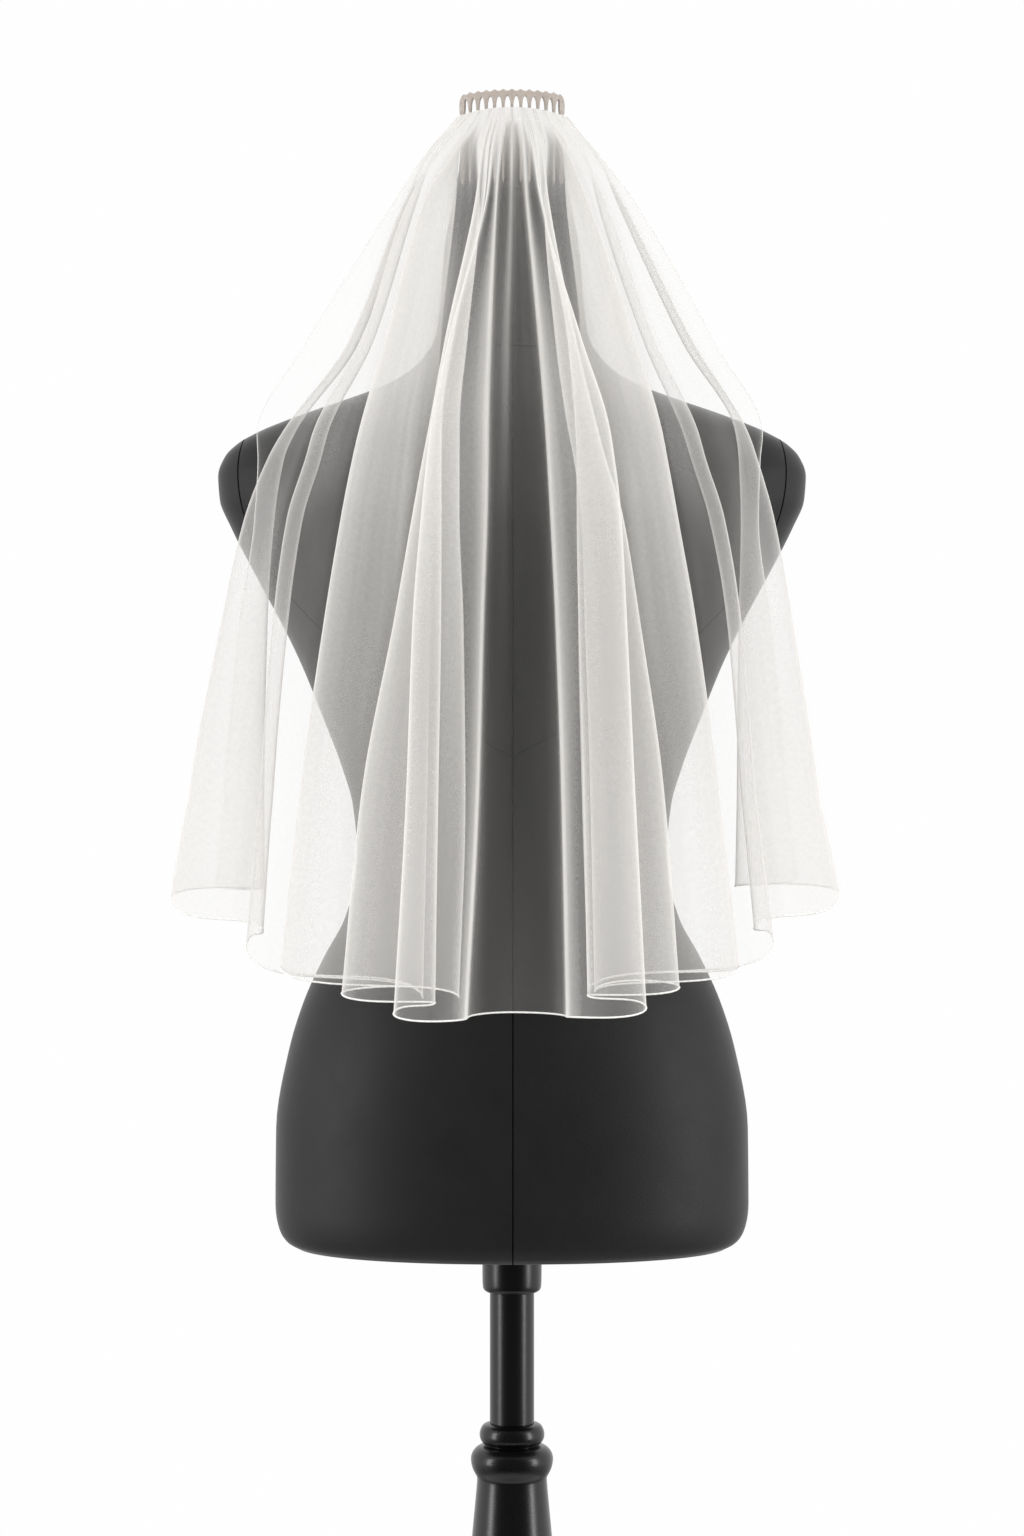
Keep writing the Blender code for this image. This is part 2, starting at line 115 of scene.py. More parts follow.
RIGHT_FOLDS = dict(
    N=(3.2, 6.8, 9.5, 17.6, 22.2, 23.5, 25.7, 29, 33.1, 36, 856),
    A1=(7, 14, 19, 46, 64.6, 67.9, 72.5, 75.9, 81.4, 87.8, 863.5),
    B0=(10.4, 17, 20, 37, 42, 43, 43, 44, 47, 49.5, 871),
    B1=(13.6, 21, 25, 43, 56.9, 62.2, 73.9, 84.9, 101.5, 110.4, 875.5),
    C0=(16.8, 23.5, 22, 29, 37, 40.9, 46.1, 48.4, 52.2, 54.5, 872),
    C1=(20.2, 38, 52, 83.7, 100.4, 104.2, 111.2, 123.1, 139, 151.3, 888),
    D0=(23.6, 35, 37, 46.3, 45.5, 45, 44.5, 44.5, 47, 51, 871.5),
    D1=(26.8, 48, 64.6, 97.7, 125, 130.5, 143, 154.3, 165.1, 176.7, 902),
    E0=(29.8, 50.5, 59, 90, 115, 121, 133, 145, 155.5, 164, 911),
    E1=(32.6, 58, 78, 125, 160, 166.5, 177.5, 190, 209.4, 223.5, 935),
    F0=(35.4, 59.5, 74, 118, 152, 154, 155, 154, 153.8, 153.1, 939),
    F1=(38.2, 63, 88.3, 141.3, 171.5, 169, 167.5, 176, 189.6, 196.8, 945.5))

# How far the hem of each stretch of cloth lifts (or dips) between its two fold lines
HEM_BOW = dict(M_N=0.0, N_A1=-2.0, A1_B0=1.5, B0_B1=-2.5, B1_C0=6.0, C0_C1=-2.0,
               C1_D0=4.0, D0_D1=-3.0, D1_E0=4.0, E0_E1=-3.0, E1_F0=4.0, F0_F1=-2.0)

# How thickly small pleats lie in each stretch of cloth from one fold line to the next,
# beside a single smooth layer that spans it
PLY_COLUMNS = ("comb", "brow", "collar", "neck", "shoulder", "back", "waist", "hem")
PLY = dict(
    M_N=(0.8, 0.42, 0.26, 0.33, 0.32, 0.28, 0.34, 0.48),
    N_A1=(1.0, 0.60, 0.26, 1.15, 1.6, 1.25, 1.1, 1.2),
    A1_B0=(1.0, 0.60, 0.32, 0.75, 0.75, 0.75, 1.1, 1.2),
    B0_B1=(1.0, 0.60, 0.45, 0.90, 0.8, 0.8, 1.1, 1.2),
    B1_C0=(1.2, 0.85, 0.60, 1.30, 1.5, 1.5, 1.4, 1.4),
    C0_C1=(1.2, 0.50, 0.50, 1.50, 1.6, 1.4, 1.3, 1.3),
    C1_D0=(1.2, 0.85, 0.75, 1.25, 1.2, 1.1, 1.0, 1.0),
    D0_D1=(1.1, 0.80, 0.80, 0.95, 0.65, 0.70, 0.8, 0.8),
    D1_E0=(1.0, 0.80, 0.80, 0.90, 0.5, 0.6, 1.0, 1.4),
    E0_E1=(1.0, 0.80, 0.80, 0.80, 0.45, 1.1, 2.1, 2.8),
    E1_F0=(1.0, 0.80, 0.80, 0.80, 0.35, 0.8, 1.7, 2.2),
    F0_F1=(1.0, 0.80, 0.80, 0.70, 0.2, 0.7, 1.4, 1.9))

# More cloth lies close to a fold line than between two: how much more, and how far in,
# which is never more than a share of the stretch and a little. The turn itself is a
# thin bright line.
FOLD_PLY = dict(
    M=(3.0, 2.5), N=(0.9, 6.0), A1=(0.3, 9.0), B0=(0.5, 4.0), B1=(1.3, 11.0),
    C0=(0.5, 4.0), C1=(1.5, 10.0), D0=(0.4, 4.0), D1=(0.7, 14.0), E0=(0.3, 8.0),
    E1=(0.5, 10.0), F0=(0.2, 6.0), F1=(0.0, 6.0))
FOLD_REACH_SHARE = 0.2
FOLD_REACH_LEAST = 0.4
FOLD_LINE_MORE = 2.5
FOLD_LINE_REACH = 0.8
# The centre line is a crease only this far down
CENTRE_CREASE = (1348.0, 1188.0)

# Creases one by one: side (-1 left, 1 right), stretch, share across it at the top and at
# the bottom, top and bottom height, how far it stands out, half width
CREASE_COLUMNS = ("side", "stretch", "share_top", "share_end", "top", "end", "rise", "width")
CREASES = (
    (-1, "A1_B0", 0.55, 0.35, 1310, 1120, 2.2, 3.0),
    (-1, "D0_D1", 0.60, 0.74, 1285, 1190, 2.5, 6.0),
    (-1, "D0_D1", 0.80, 0.88, 1275, 1170, 2.5, 6.0),
    (-1, "D0_D1", 0.45, 0.35, 1290, 1120, 2.0, 7.0),
    (-1, "E0_E1", 0.50, 0.45, 1320, 1000, 2.0, 6.0),
    (-1, "C0_C1", 0.50, 0.55, 1330, 1000, 1.8, 7.0),
    (-1, "N_A1", 0.50, 0.45, 1280, 900, 1.6, 5.0),
    (1, "N_A1", 0.45, 0.50, 1300, 930, 1.6, 5.0),
    (1, "C0_C1", 0.60, 0.50, 1340, 1010, 1.8, 7.0),
    (1, "D0_D1", 0.62, 0.78, 1290, 1180, 2.5, 6.0),
    (1, "D0_D1", 0.85, 0.80, 1280, 1160, 2.5, 6.0),
    (1, "D0_D1", 0.50, 0.45, 1300, 1060, 2.0, 7.0),
    (1, "E0_E1", 0.50, 0.55, 1330, 980, 2.0, 6.0))
# How a crease dies out at its ends, and how much more cloth lies in it
CREASE_FADE = 1.2
CREASE_MORE = 0.6

# Fine pleats below the gathers: how deep, the heights between which they build up, how
# they die out, how many lie in a stretch, and how they wander from side to side
PLEAT_DEPTH = 0.9
PLEAT_BUILD = (1475.0, 1453.0)
PLEAT_END = 1340.0
PLEAT_FADE = 1.6
PLEATS = 2
PLEAT_WANDER = 0.13
PLEAT_WANDER_PITCH = 31.0
# How uneven they are, with the beat and start of that from stretch to stretch, and how
# strong they are in the middle and at least at the sides
PLEAT_UNEVEN = 0.35
PLEAT_BEAT = (2.4, 0.7)
PLEAT_MIDDLE = 1.3
PLEAT_LEAST = 0.25

# Columns in each stretch, rows down the veil, and how they crowd towards the comb
FOLD_STEPS = 14
VEIL_ROWS = 236
ROW_CROWDING = 1.25

# Pencil edge: it thickens from the sides to the hem between two heights, and starts
# some rows below the comb
EDGE_RADIUS = 0.6
EDGE_SIDE_RADIUS = 0.2
EDGE_THICKENS = (960.0, 940.0)
EDGE_START = 6
EDGE_SIDES = 8

# Gathering stitches, along one row of the veil a few millimetres below its edge
STITCH_PITCH = 3.6
STITCH_LENGTH = 2.4
STITCH_RADIUS = 0.22
STITCH_TIP = 0.25
STITCH_RISE = 0.5
STITCH_SINK = 0.1
STITCH_ROW = 8
STITCH_STEPS = 9
STITCH_SIDES = 6

# Comb: a round bend, a spine scalloped over its teeth and arched under them
COMB_BEND_RADIUS = 60.0
COMB_BACK = 47.6
COMB_THICK = 2.6
COMB_WIDTH = 76.2
COMB_TEETH = 13
COMB_TOP = 1486.5
COMB_ARCH = 1.6
COMB_SCALLOP = 1.3
COMB_SCALLOP_POWER = 1.5
COMB_SPINE = 5.0
COMB_SPINE_LEAST = 0.5
COMB_SPINE_POWERS = (0.8, 0.6)
COMB_SPINE_STEPS = 401
COMB_SPINE_SIDES = 16
COMB_GAP_HALF = 2.05
COMB_GAP_ARCH = 9.0
COMB_CORNER = 3.6
COMB_END_TOOTH = 4.0
COMB_PITCH = (COMB_WIDTH - COMB_END_TOOTH) / (COMB_TEETH - 1)
# The veil follows the comb's bend as far out as this share of its radius
COMB_BEND_SHARE = 0.95
# Teeth: their lower end, how far they reach into the spine, how they narrow, how flat
# they are for the spine's thickness, and the share that rounds off to the tip
TOOTH_END = 1422.0
TOOTH_ROOT = 0.5
TOOTH_TAPER = 0.2
TOOTH_FLAT = 0.9
TOOTH_POWER = 0.8
TOOTH_TIP = 0.06
TOOTH_TIP_LEAST = 0.02
TOOTH_STEPS = 26
TOOTH_SIDES = 12
# The veil's gathered edge, which follows the comb's arch
VEIL_EDGE_CENTRE = 1473.5
VEIL_EDGE_DROP = 4.5

# Form: rounded ovals from its neck down, with the places of their back and front
FORM_COLUMNS = ("height", "half_width", "back", "front", "squareness")
FORM_RINGS = (
    (1465.0, 28.0, -35, 37, 2.0),
    (1464.0, 33.0, -40.5, 43, 2.0),
    (1460.0, 35.6, -43.6, 46, 2.0),
    (1442.0, 36.8, -45.0, 47.5, 2.0),
    (1412.0, 42.0, -46.5, 50, 2.0),
    (1383.0, 47.3, -49.5, 54, 2.0),
    (1347.0, 50.0, -54.5, 58, 2.0),
    (1322.0, 53.5, -60.0, 60, 2.0),
    (1308.0, 61.0, -64.5, 62, 2.0),
    (1293.0, 77.0, -70.0, 62, 2.1),
    (1284.0, 95.0, -74.0, 62, 2.1),
    (1275.0, 119.0, -78.0, 62, 2.15),
    (1265.0, 148.0, -81.0, 63, 2.2),
    (1254.0, 176.0, -84.0, 66, 2.2),
    (1245.0, 192.0, -86.0, 70, 2.25),
    (1236.0, 200.5, -88.0, 74, 2.3),
    (1223.0, 205.0, -90.0, 80, 2.4),
    (1207.0, 204.0, -93.0, 88, 2.4),
    (1186.0, 195.5, -95.5, 100, 2.35),
    (1148.0, 176.0, -97.5, 117, 2.3),
    (1120.0, 161.0, -96.0, 121, 2.25),
    (1093.0, 148.0, -92.5, 114, 2.2),
    (1058.0, 133.5, -86.5, 101, 2.2),
    (1020.0, 119.0, -80.0, 92, 2.2),
    (994.0, 111.5, -77.0, 86, 2.2),
    (962.0, 108.5, -76.0, 84, 2.2),
    (941.0, 110.0, -78.0, 85, 2.2),
    (915.0, 117.0, -84.5, 89, 2.2),
    (888.0, 131.5, -96.0, 95, 2.2),
    (857.0, 145.5, -107.5, 102, 2.2),
    (822.0, 156.0, -114.5, 106, 2.2),
    (770.0, 164.5, -118.5, 108, 2.2),
    (718.0, 165.0, -118.5, 108.5, 2.2),
    (700.0, 162.5, -116.5, 107, 2.2),
    (691.0, 157.0, -112.0, 102, 2.2),
    (687.0, 150.0, -106.0, 96, 2.2))
FORM_SIDES = 168
FORM_STEPS = 6
# Corners sharper than this, in radians, stay sharp
FORM_SHARP = 0.9

# Stand: outlines of its turned pieces, each point a radius and a height
COLLAR_PROFILE = ((20.8, 686.7), (20.8, 658.0), (19.8, 655.0), (17.5, 653.6))
POST_PROFILE = ((15.5, 653.3), (15.5, 562.0))
COLUMN_PROFILE = (
    (16.5, 561.7), (20.5, 560.6), (22.7, 556.0), (22.7, 551.5), (20.6, 547.8),
    (18.5, 546.6), (24.0, 545.6), (28.0, 541.4), (29.1, 536.3), (27.6, 529.5),
    (24.6, 524.6), (24.3, 522.5), (25.6, 508.0), (28.1, 482.0), (31.4, 440.0),
    (33.0, 398.0), (32.4, 350.0), (29.6, 298.0), (25.8, 245.0), (22.8, 196.0),
    (21.6, 160.0), (22.0, 152.0), (27.0, 149.0), (29.6, 143.0), (28.6, 136.5),
    (24.5, 132.0), (24.5, 126.0), (27.0, 100.0), (33.5, 72.0), (44.0, 52.0),
    (56.0, 43.3))
BASE_PROFILE = (
    (62.0, 43.0), (82.0, 39.0), (120.0, 33.0), (152.0, 28.0), (163.0, 25.5),
    (166.0, 22.5), (172.0, 20.0), (175.0, 15.0), (175.0, 4.0), (173.0, 0.0))
STAND_SIDES = 96
STAND_SHARP = 0.7

# Seams of the form's cover, in metres: x of the back seam, z of the neck seam, and the
# armhole seam's x and z where it stands out most; from there it comes in by the square
# of the height over the third value
BACK_SEAM = 0.0006
NECK_SEAM = 1.308
ARMHOLE_SEAM = (0.1883, 1.2237, 0.205)

# How much light one layer of tulle stops face on, how square on it counts at least, the
# thread's colours, and the share of its light that comes through from behind
THREAD_COVER = 0.165
TULLE_LEAST_FACING = 0.07
TULLE_FRONT = "#F2F0ED"
TULLE_THROUGH = "#F4F2EF"
TULLE_THROUGH_SHARE = 0.25


# Shapes
def share_from(at, start, end):
    """How far each value has come from the start to the end, held between 0 and 1."""
    return np.clip((start - at) / (start - end), 0, 1)


def full_turn(sides):
    """Angles of so many points round a circle."""
    return np.linspace(0, 2 * np.pi, sides, endpoint=False)


def squared(wave, power):
    """A sine or cosine raised to a power with its sign kept: a power under 1 makes
    the oval that it draws squarer."""
    return np.sign(wave) * np.abs(wave)**power


def monotone_curve(knots, values, at):
    """Cubic through the knots with no overshoot: each slope is the harmonic mean
    of its neighbours' slopes, or zero where they change sign. values may hold
    one curve a row; knots must rise."""
    knots = np.asarray(knots, float)
    values = np.atleast_2d(np.asarray(values, float))
    steps = np.diff(knots)
    slopes = np.diff(values, axis=1) / steps
    before = slopes[:, :-1]
    after = slopes[:, 1:]
    product = before * after
    total = before + after
    total[total == 0] = 1.0
    inner = np.where(product > 0, 2.0 * product / total, 0.0)
    tangents = np.concatenate([slopes[:, :1], inner, slopes[:, -1:]], axis=1)
    cell = np.clip(np.searchsorted(knots, at, side="right") - 1, 0, len(steps) - 1)
    t = (at - knots[cell]) / steps[cell]
    left = values[:, cell]
    right = values[:, cell + 1]
    bend_left = tangents[:, cell] * steps[cell]
    bend_right = tangents[:, cell + 1] * steps[cell]
    return (left * (2 * t**3 - 3 * t**2 + 1) + bend_left * (t**3 - 2 * t**2 + t)
            + right * (3 * t**2 - 2 * t**3) + bend_right * (t**3 - t**2))


def station_curves(names, table, rows):
    """Curves down the veil through values given at named stations, one a fold."""
    order = sorted(names, key=lambda name: STATION_HEIGHTS[name])
    knots = [STATION_HEIGHTS[name] for name in order]
    return monotone_curve(knots, np.stack([table[name] for name in order], axis=1), rows)


def fold_chain():
    """Fold names and place rows from the left free edge to the right one."""
    left = [(name, LEFT_FOLDS[name]) for name in reversed(LEFT_FOLDS)]
    right = [(name, RIGHT_FOLDS[name]) for name in RIGHT_FOLDS]
    return left + [("M", CENTRE)] + right


def comb_depth(across):
    """How far behind the middle the comb's outer face is, across its width."""
    outer = COMB_BEND_RADIUS + COMB_THICK / 2
    reach = np.minimum(np.abs(across), outer * COMB_BEND_SHARE)
    return COMB_BACK + np.sqrt(outer**2 - reach**2) - COMB_BEND_RADIUS


def fold_lines(rows):
    """Every fold line's points, fold by row by (x, y, z), in millimetres. Below the
    waist the rows are stretched to end on each fold's hem, and above the collar
    they bend up to the comb's arch."""
    chain = fold_chain()
    places = {name: np.array([row[PLACE_COLUMNS.index(name)] for _, row in chain], float)
              for name in PLACE_COLUMNS}
    depths = {name: np.array([DEPTHS[fold][DEPTH_COLUMNS.index(name)] for fold, _ in chain],
                             float) for name in DEPTH_COLUMNS}
    depths["comb"] = comb_depth(places["comb"]) + SEAT_GAP + WALL / 2 + GATHER_DEPTH
    depths["brow"] = depths["comb"] + BROW_SHARE_DEEP * (depths["collar"] - depths["comb"])
    across = station_curves(list(STATION_HEIGHTS), places, rows)
    deep = station_curves(list(depths), depths, rows)

    hem_share = share_from(rows, WAIST_ROW, HEM_ROW)
    lift = (places["hem_height"] - HEM_ROW)[:, None] * hem_share[None, :]
    edge = VEIL_EDGE_CENTRE - VEIL_EDGE_DROP * (places["comb"] / (COMB_WIDTH / 2))**2
    top_share = share_from(rows, COLLAR_ROW, COMB_ROW)
    lift = lift + (edge - COMB_ROW)[:, None] * top_share[None, :]
    return np.stack([across, -deep, rows[None, :] + lift], axis=2)


def stretch_names():
    """Names of the stretches of cloth between neighbouring fold lines, left to right."""
    return list(reversed(PLY)) + list(PLY)


def gathers(t, rows, stretches):
    """How far back the gathers lie: cos(pi t), one way and the other from stretch to
    stretch, deepest at the comb."""
    sign = np.where(np.arange(stretches) % 2, -1.0, 1.0)[:, None, None]
    gathered = share_from(rows, GATHER_END, COMB_ROW)[None, None, :]
    return sign * GATHER_DEPTH * gathered * np.cos(np.pi * t)


def pleats(t, rows, stretches):
    """How far back the fine pleats lie: sin(2 pi n t) sin(pi t), so that the fold lines
    stay still, uneven from stretch to stretch, calmer towards the sides and dying out
    down the veil."""
    stretch = np.arange(stretches)
    middle = stretches // 2
    fall = share_from(rows, PLEAT_END, COMB_ROW)
    build = share_from(rows, *PLEAT_BUILD)
    beat, start = PLEAT_BEAT
    uneven = 1 - PLEAT_UNEVEN + PLEAT_UNEVEN * np.sin(stretch * beat + start)
    aside = np.abs(stretch + 0.5 - middle) / middle
    calm = np.clip(PLEAT_MIDDLE - aside, PLEAT_LEAST, 1)
    swell = (PLEAT_DEPTH * uneven * calm)[:, None, None] * (fall**PLEAT_FADE * build)
    wander = PLEAT_WANDER * np.sin(rows / PLEAT_WANDER_PITCH)[None, None, :]
    return swell * np.sin(2 * np.pi * (PLEATS * t + wander)) * np.sin(np.pi * t)


def crease_ridges(lines, across, rows):
    """The listed creases, one by one: the stretch's number, how far the crease
    stands out, and its ridge there, exp(-(distance / width)^2) across and a power of
    sin(pi s) along."""
    names = stretch_names()
    for row in CREASES:
        crease = dict(zip(CREASE_COLUMNS, row))
        found = [i for i, name in enumerate(names) if name == crease["stretch"]]
        left = crease["side"] < 0
        index = found[0] if left else found[-1]
        along = share_from(rows, crease["top"], crease["end"])
        window = np.sin(np.pi * along)**CREASE_FADE
        place = crease["share_top"] + (crease["share_end"] - crease["share_top"]) * along
        if left:
            place = 1 - place
        here = lines[index, :, 0] + (lines[index + 1, :, 0] - lines[index, :, 0]) * place
        away = (across[index] - here[None, :]) / crease["width"]
        yield index, crease["rise"], window[None, :] * np.exp(-away**2)


def cloth_grid(lines, rows):
    """The cloth between the fold lines, stretch by step by row by (x, y, z). Across a
    stretch it eases from one fold line to the next by (1 - cos(pi t)) / 2, so that it
    turns round at each, while its depth, and below the waist its height, run on by t
    and a small sine. At the comb it is spread evenly instead. Also returns how strongly
    each point is creased."""
    first = lines[:-1, None]
    span = lines[1:, None] - first
    t = (np.arange(FOLD_STEPS) / FOLD_STEPS)[None, :, None]
    stretches = len(lines) - 1
    middle = stretches // 2
    turned = share_from(rows, COMB_ROW, COLLAR_ROW)[None, None, :]
    low = share_from(rows, WAIST_ROW, HEM_ROW)[None, None, :]
    even = (1 - np.cos(np.pi * t)) / 2
    eased = np.repeat(even, stretches, axis=0)
    lead = t + SPREAD_IN_FOLD * np.sin(2 * np.pi * t) / (2 * np.pi)
    lead = np.repeat(lead, stretches, axis=0)
    # Either side of the centre line the panel turns at its outer fold alone
    eased[middle - 1] = 1 - np.cos(np.pi * t[0] / 2)
    lead[middle - 1] = np.sin(np.pi * t[0] / 2)
    eased[middle] = np.sin(np.pi * t[0] / 2)
    lead[middle] = 1 - np.cos(np.pi * t[0] / 2)

    across = first[..., 0] + span[..., 0] * ((1 - turned) * t + turned * eased)
    deep = first[..., 1] + span[..., 1] * ((1 - turned) * t + turned * lead)
    height = first[..., 2] + span[..., 2] * np.where(low > 0, lead, even)
    bow = np.array(list(reversed(HEM_BOW.values())) + list(HEM_BOW.values()))[:, None, None]
    height = height + bow * low**2 * np.sin(np.pi * t)

    # The two folds nearest to a viewer belly out
    for fold in (middle - 2, middle + 1):
        reach = np.abs(span[fold, :, :, 1])
        deep[fold] -= FRONT_FOLD_BOW * reach * np.sin(np.pi * t[0]) * turned[0]
    deep = deep + gathers(t, rows, stretches)
    deep = deep + pleats(t, rows, stretches)

    creased = np.zeros(deep.shape)
    for index, rise, ridge in crease_ridges(lines, across, rows):
        deep[index] -= rise * ridge
        creased[index] += ridge
    return np.stack([across, deep, height], axis=3), creased


def cloth_ply(whole, width, creased, rows):
    """How much cloth lies in each bit of the veil: what a stretch measures at the hem
    over what it measures at that height, times the given table, and more towards
    the folds, by exp(-distance / reach), and in the creases."""
    gathered = width[:, -1:] / width
    names = stretch_names()
    table = {column: np.array([PLY[name][i] for name in names])
             for i, column in enumerate(PLY_COLUMNS)}
    ply = (gathered * station_curves(list(PLY_COLUMNS), table, rows))[:, None, :]
    folds = [name for name, _ in fold_chain()]
    more, reach = np.array([FOLD_PLY[name] for name in folds]).T[:, :, None]
    more = more * np.ones(VEIL_ROWS)
    line = np.full(more.shape, FOLD_LINE_MORE)
    start, end = CENTRE_CREASE
    fade = share_from(rows, end, start)
    more[folds.index("M")] *= fade
    line[folds.index("M")] *= fade
    breadth = np.abs(whole[:, -1, :, 0] - whole[:, 0, :, 0])
    glow = np.ones(whole.shape[:3])
    for side in (0, 1):
        own = slice(side, len(folds) - 1 + side)
        away = np.abs(whole[..., 0] - whole[:, -side, None, :, 0])
        near = np.minimum(reach[own], FOLD_REACH_LEAST + FOLD_REACH_SHARE * breadth)[:, None]
        glow += more[own][:, None] * np.exp(-away / near)
        glow += line[own][:, None] * np.exp(-away / FOLD_LINE_REACH)
    glow[:, :-1] += CREASE_MORE * creased
    return ply * glow


def veil_surface():
    """Points, ply and cut-out coordinates of the veil, column by row. The cut-out
    coordinates are distances along the cloth: across at the hem, and down each column."""
    share = np.linspace(0, 1, VEIL_ROWS)
    rows = COMB_ROW + share**ROW_CROWDING * (HEM_ROW - COMB_ROW)
    lines = fold_lines(rows)
    grid, creased = cloth_grid(lines, rows)
    ends = np.concatenate([grid[1:, :1], lines[None, -1:]], axis=0)
    whole = np.concatenate([grid, ends], axis=1)
    piece = np.linalg.norm(np.diff(whole, axis=1), axis=3)
    ply = cloth_ply(whole, piece.sum(axis=1), creased, rows)

    points = np.concatenate([grid.reshape(-1, VEIL_ROWS, 3), lines[-1:]], axis=0)
    column_ply = np.concatenate([ply[:, :-1].reshape(-1, VEIL_ROWS), ply[-1, -1:]], axis=0)
    across = np.concatenate([[0], np.cumsum(piece[:, :, -1].reshape(-1))])
    down = np.linalg.norm(np.diff(points, axis=1), axis=2)
    down = np.concatenate([np.zeros((len(points), 1)), np.cumsum(down, axis=1)], axis=1)
    cut = np.stack([np.broadcast_to(across[:, None], down.shape), down], axis=2)
    return points, column_ply, cut


def grid_quads(columns, rows, closed=False):
    """Quads of a grid whose points run row after row inside each column; closed
    joins the last column to the first."""
    c = np.arange(columns if closed else columns - 1)[:, None]
    r = np.arange(rows - 1)[None, :]
    following = (c + 1) % columns
    return np.stack([c * rows + r, c * rows + r + 1, following * rows + r + 1,
                     following * rows + r], axis=2).reshape(-1, 4)


def surface_normals(points):
    """Unit normals of a grid of points: the cross product of its two directions."""
    across = np.gradient(points, axis=0)
    down = np.gradient(points, axis=1)
    normal = np.cross(across, down)
    return normal / np.maximum(np.linalg.norm(normal, axis=2, keepdims=True), 1e-9)


def tube(path, out, radius, sides):
    """A round cord along a path: at each point a circle spanned by the given outward
    direction and its cross product with the path's own direction. The radius may be
    one number or one for each point."""
    along = np.gradient(path, axis=0)
    along /= np.linalg.norm(along, axis=1, keepdims=True)
    out = out - (out * along).sum(axis=1, keepdims=True) * along
    out /= np.linalg.norm(out, axis=1, keepdims=True)
    other = np.cross(along, out)
    turn = full_turn(sides)[:, None, None]
    radius = np.broadcast_to(radius, len(path))[None, :, None]
    return path[None] + radius * (np.cos(turn) * out[None] + np.sin(turn) * other[None])


def running_stitches(path, out):
    """Hand-sewn running stitches along a path, cord by side by point: each is an arch
    whose rise and thickness go as sin(pi u) and its root, so both ends dip in."""
    run = np.concatenate([[0], np.cumsum(np.linalg.norm(np.diff(path, axis=0), axis=1))])
    u = np.linspace(0, 1, STITCH_STEPS)
    starts = np.arange(STITCH_PITCH / 2, run[-1] - STITCH_LENGTH, STITCH_PITCH)
    place = starts[:, None] + STITCH_LENGTH * u
    at, aim = (np.stack([np.interp(place, run, part[:, i]) for i in range(3)], axis=2)
               for part in (path, out))
    arch = np.sin(np.pi * u)[:, None]
    radius = STITCH_RADIUS * (STITCH_TIP + (1 - STITCH_TIP) * np.sqrt(arch[:, 0]))
    rise = STITCH_RISE * arch - STITCH_SINK
    return np.stack([tube(line + rise * up, up, radius, STITCH_SIDES)
                     for line, up in zip(at, aim)])


def add_piece(name, points, quads, finish, sharp=None, triangles=None):
    """A named piece from points in millimetres, riding on the one body there is."""
    mesh = bpy.data.meshes.new(name)
    faces = quads.tolist() + (triangles.tolist() if triangles is not None else [])
    mesh.from_pydata((np.asarray(points, float).reshape(-1, 3) * MM).tolist(), [], faces)
    mesh.update()
    mesh.shade_smooth()
    if sharp is not None:
        mesh.set_sharp_from_angle(angle=sharp)
    mesh.materials.append(finish)
    piece = bpy.data.objects.new(name, mesh)
    scene.collection.objects.link(piece)
    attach(piece, "root")
    return piece


def closed_rings(rings):
    """Points, quads and end fans of a body through equal rings, from its top down.
    Rings run anticlockwise seen from above, so that its faces point outwards."""
    levels, sides = rings.shape[:2]
    points = np.concatenate([rings.reshape(-1, 3), rings[:1].mean(axis=1),
                             rings[-1:].mean(axis=1)])
    level = np.arange(levels - 1)[:, None]
    side = np.arange(sides)[None, :]
    following = (side + 1) % sides
    quads = np.stack([level * sides + side, (level + 1) * sides + side,
                      (level + 1) * sides + following, level * sides + following],
                     axis=2).reshape(-1, 4)
    first = levels * sides
    last = (levels - 1) * sides
    side = side[0]
    following = following[0]
    top = np.stack([side, following, np.full(sides, first)], axis=1)
    end = np.stack([last + following, last + side, np.full(sides, first + 1)], axis=1)
    return points, quads, np.concatenate([top, end])


def form_rings():
    """The form's rings, eased through the table by row number: each is a rounded oval
    with its own back and front depth and squareness."""
    table = np.array(FORM_RINGS).T
    level = np.linspace(0, len(FORM_RINGS) - 1, (len(FORM_RINGS) - 1) * FORM_STEPS + 1)
    ring = dict(zip(FORM_COLUMNS, monotone_curve(np.arange(len(FORM_RINGS)), table, level)))
    turn = full_turn(FORM_SIDES)[None, :]
    power = (2 / ring["squareness"])[:, None]
    across = squared(np.cos(turn), power)
    deep = squared(np.sin(turn), power)
    middle = ((ring["back"] + ring["front"]) / 2)[:, None]
    reach = ((ring["front"] - ring["back"]) / 2)[:, None]
    height = np.broadcast_to(ring["height"][:, None], across.shape)
    return np.stack([ring["half_width"][:, None] * across, middle + reach * deep, height],
                    axis=2)


def eased_profile(profile, times):
    """The profile with its corners cut, so many times: each side keeps its middle half
    and the ends stay."""
    points = np.array(profile, float)
    for _ in range(times):
        near = points[:-1] * 0.75 + points[1:] * 0.25
        far = points[:-1] * 0.25 + points[1:] * 0.75
        inner = np.stack([near, far], axis=1).reshape(-1, 2)
        points = np.concatenate([points[:1], inner, points[-1:]])
    return points


def turned_rings(profile, times):
    """Rings of a piece turned about the stand's axis, from its eased profile."""
    points = eased_profile(profile, times)
    turn = full_turn(STAND_SIDES)[None, :]
    radius = points[:, :1]
    height = np.broadcast_to(points[:, 1:], (len(points), STAND_SIDES))
    return np.stack([radius * np.cos(turn), radius * np.sin(turn), height], axis=2)


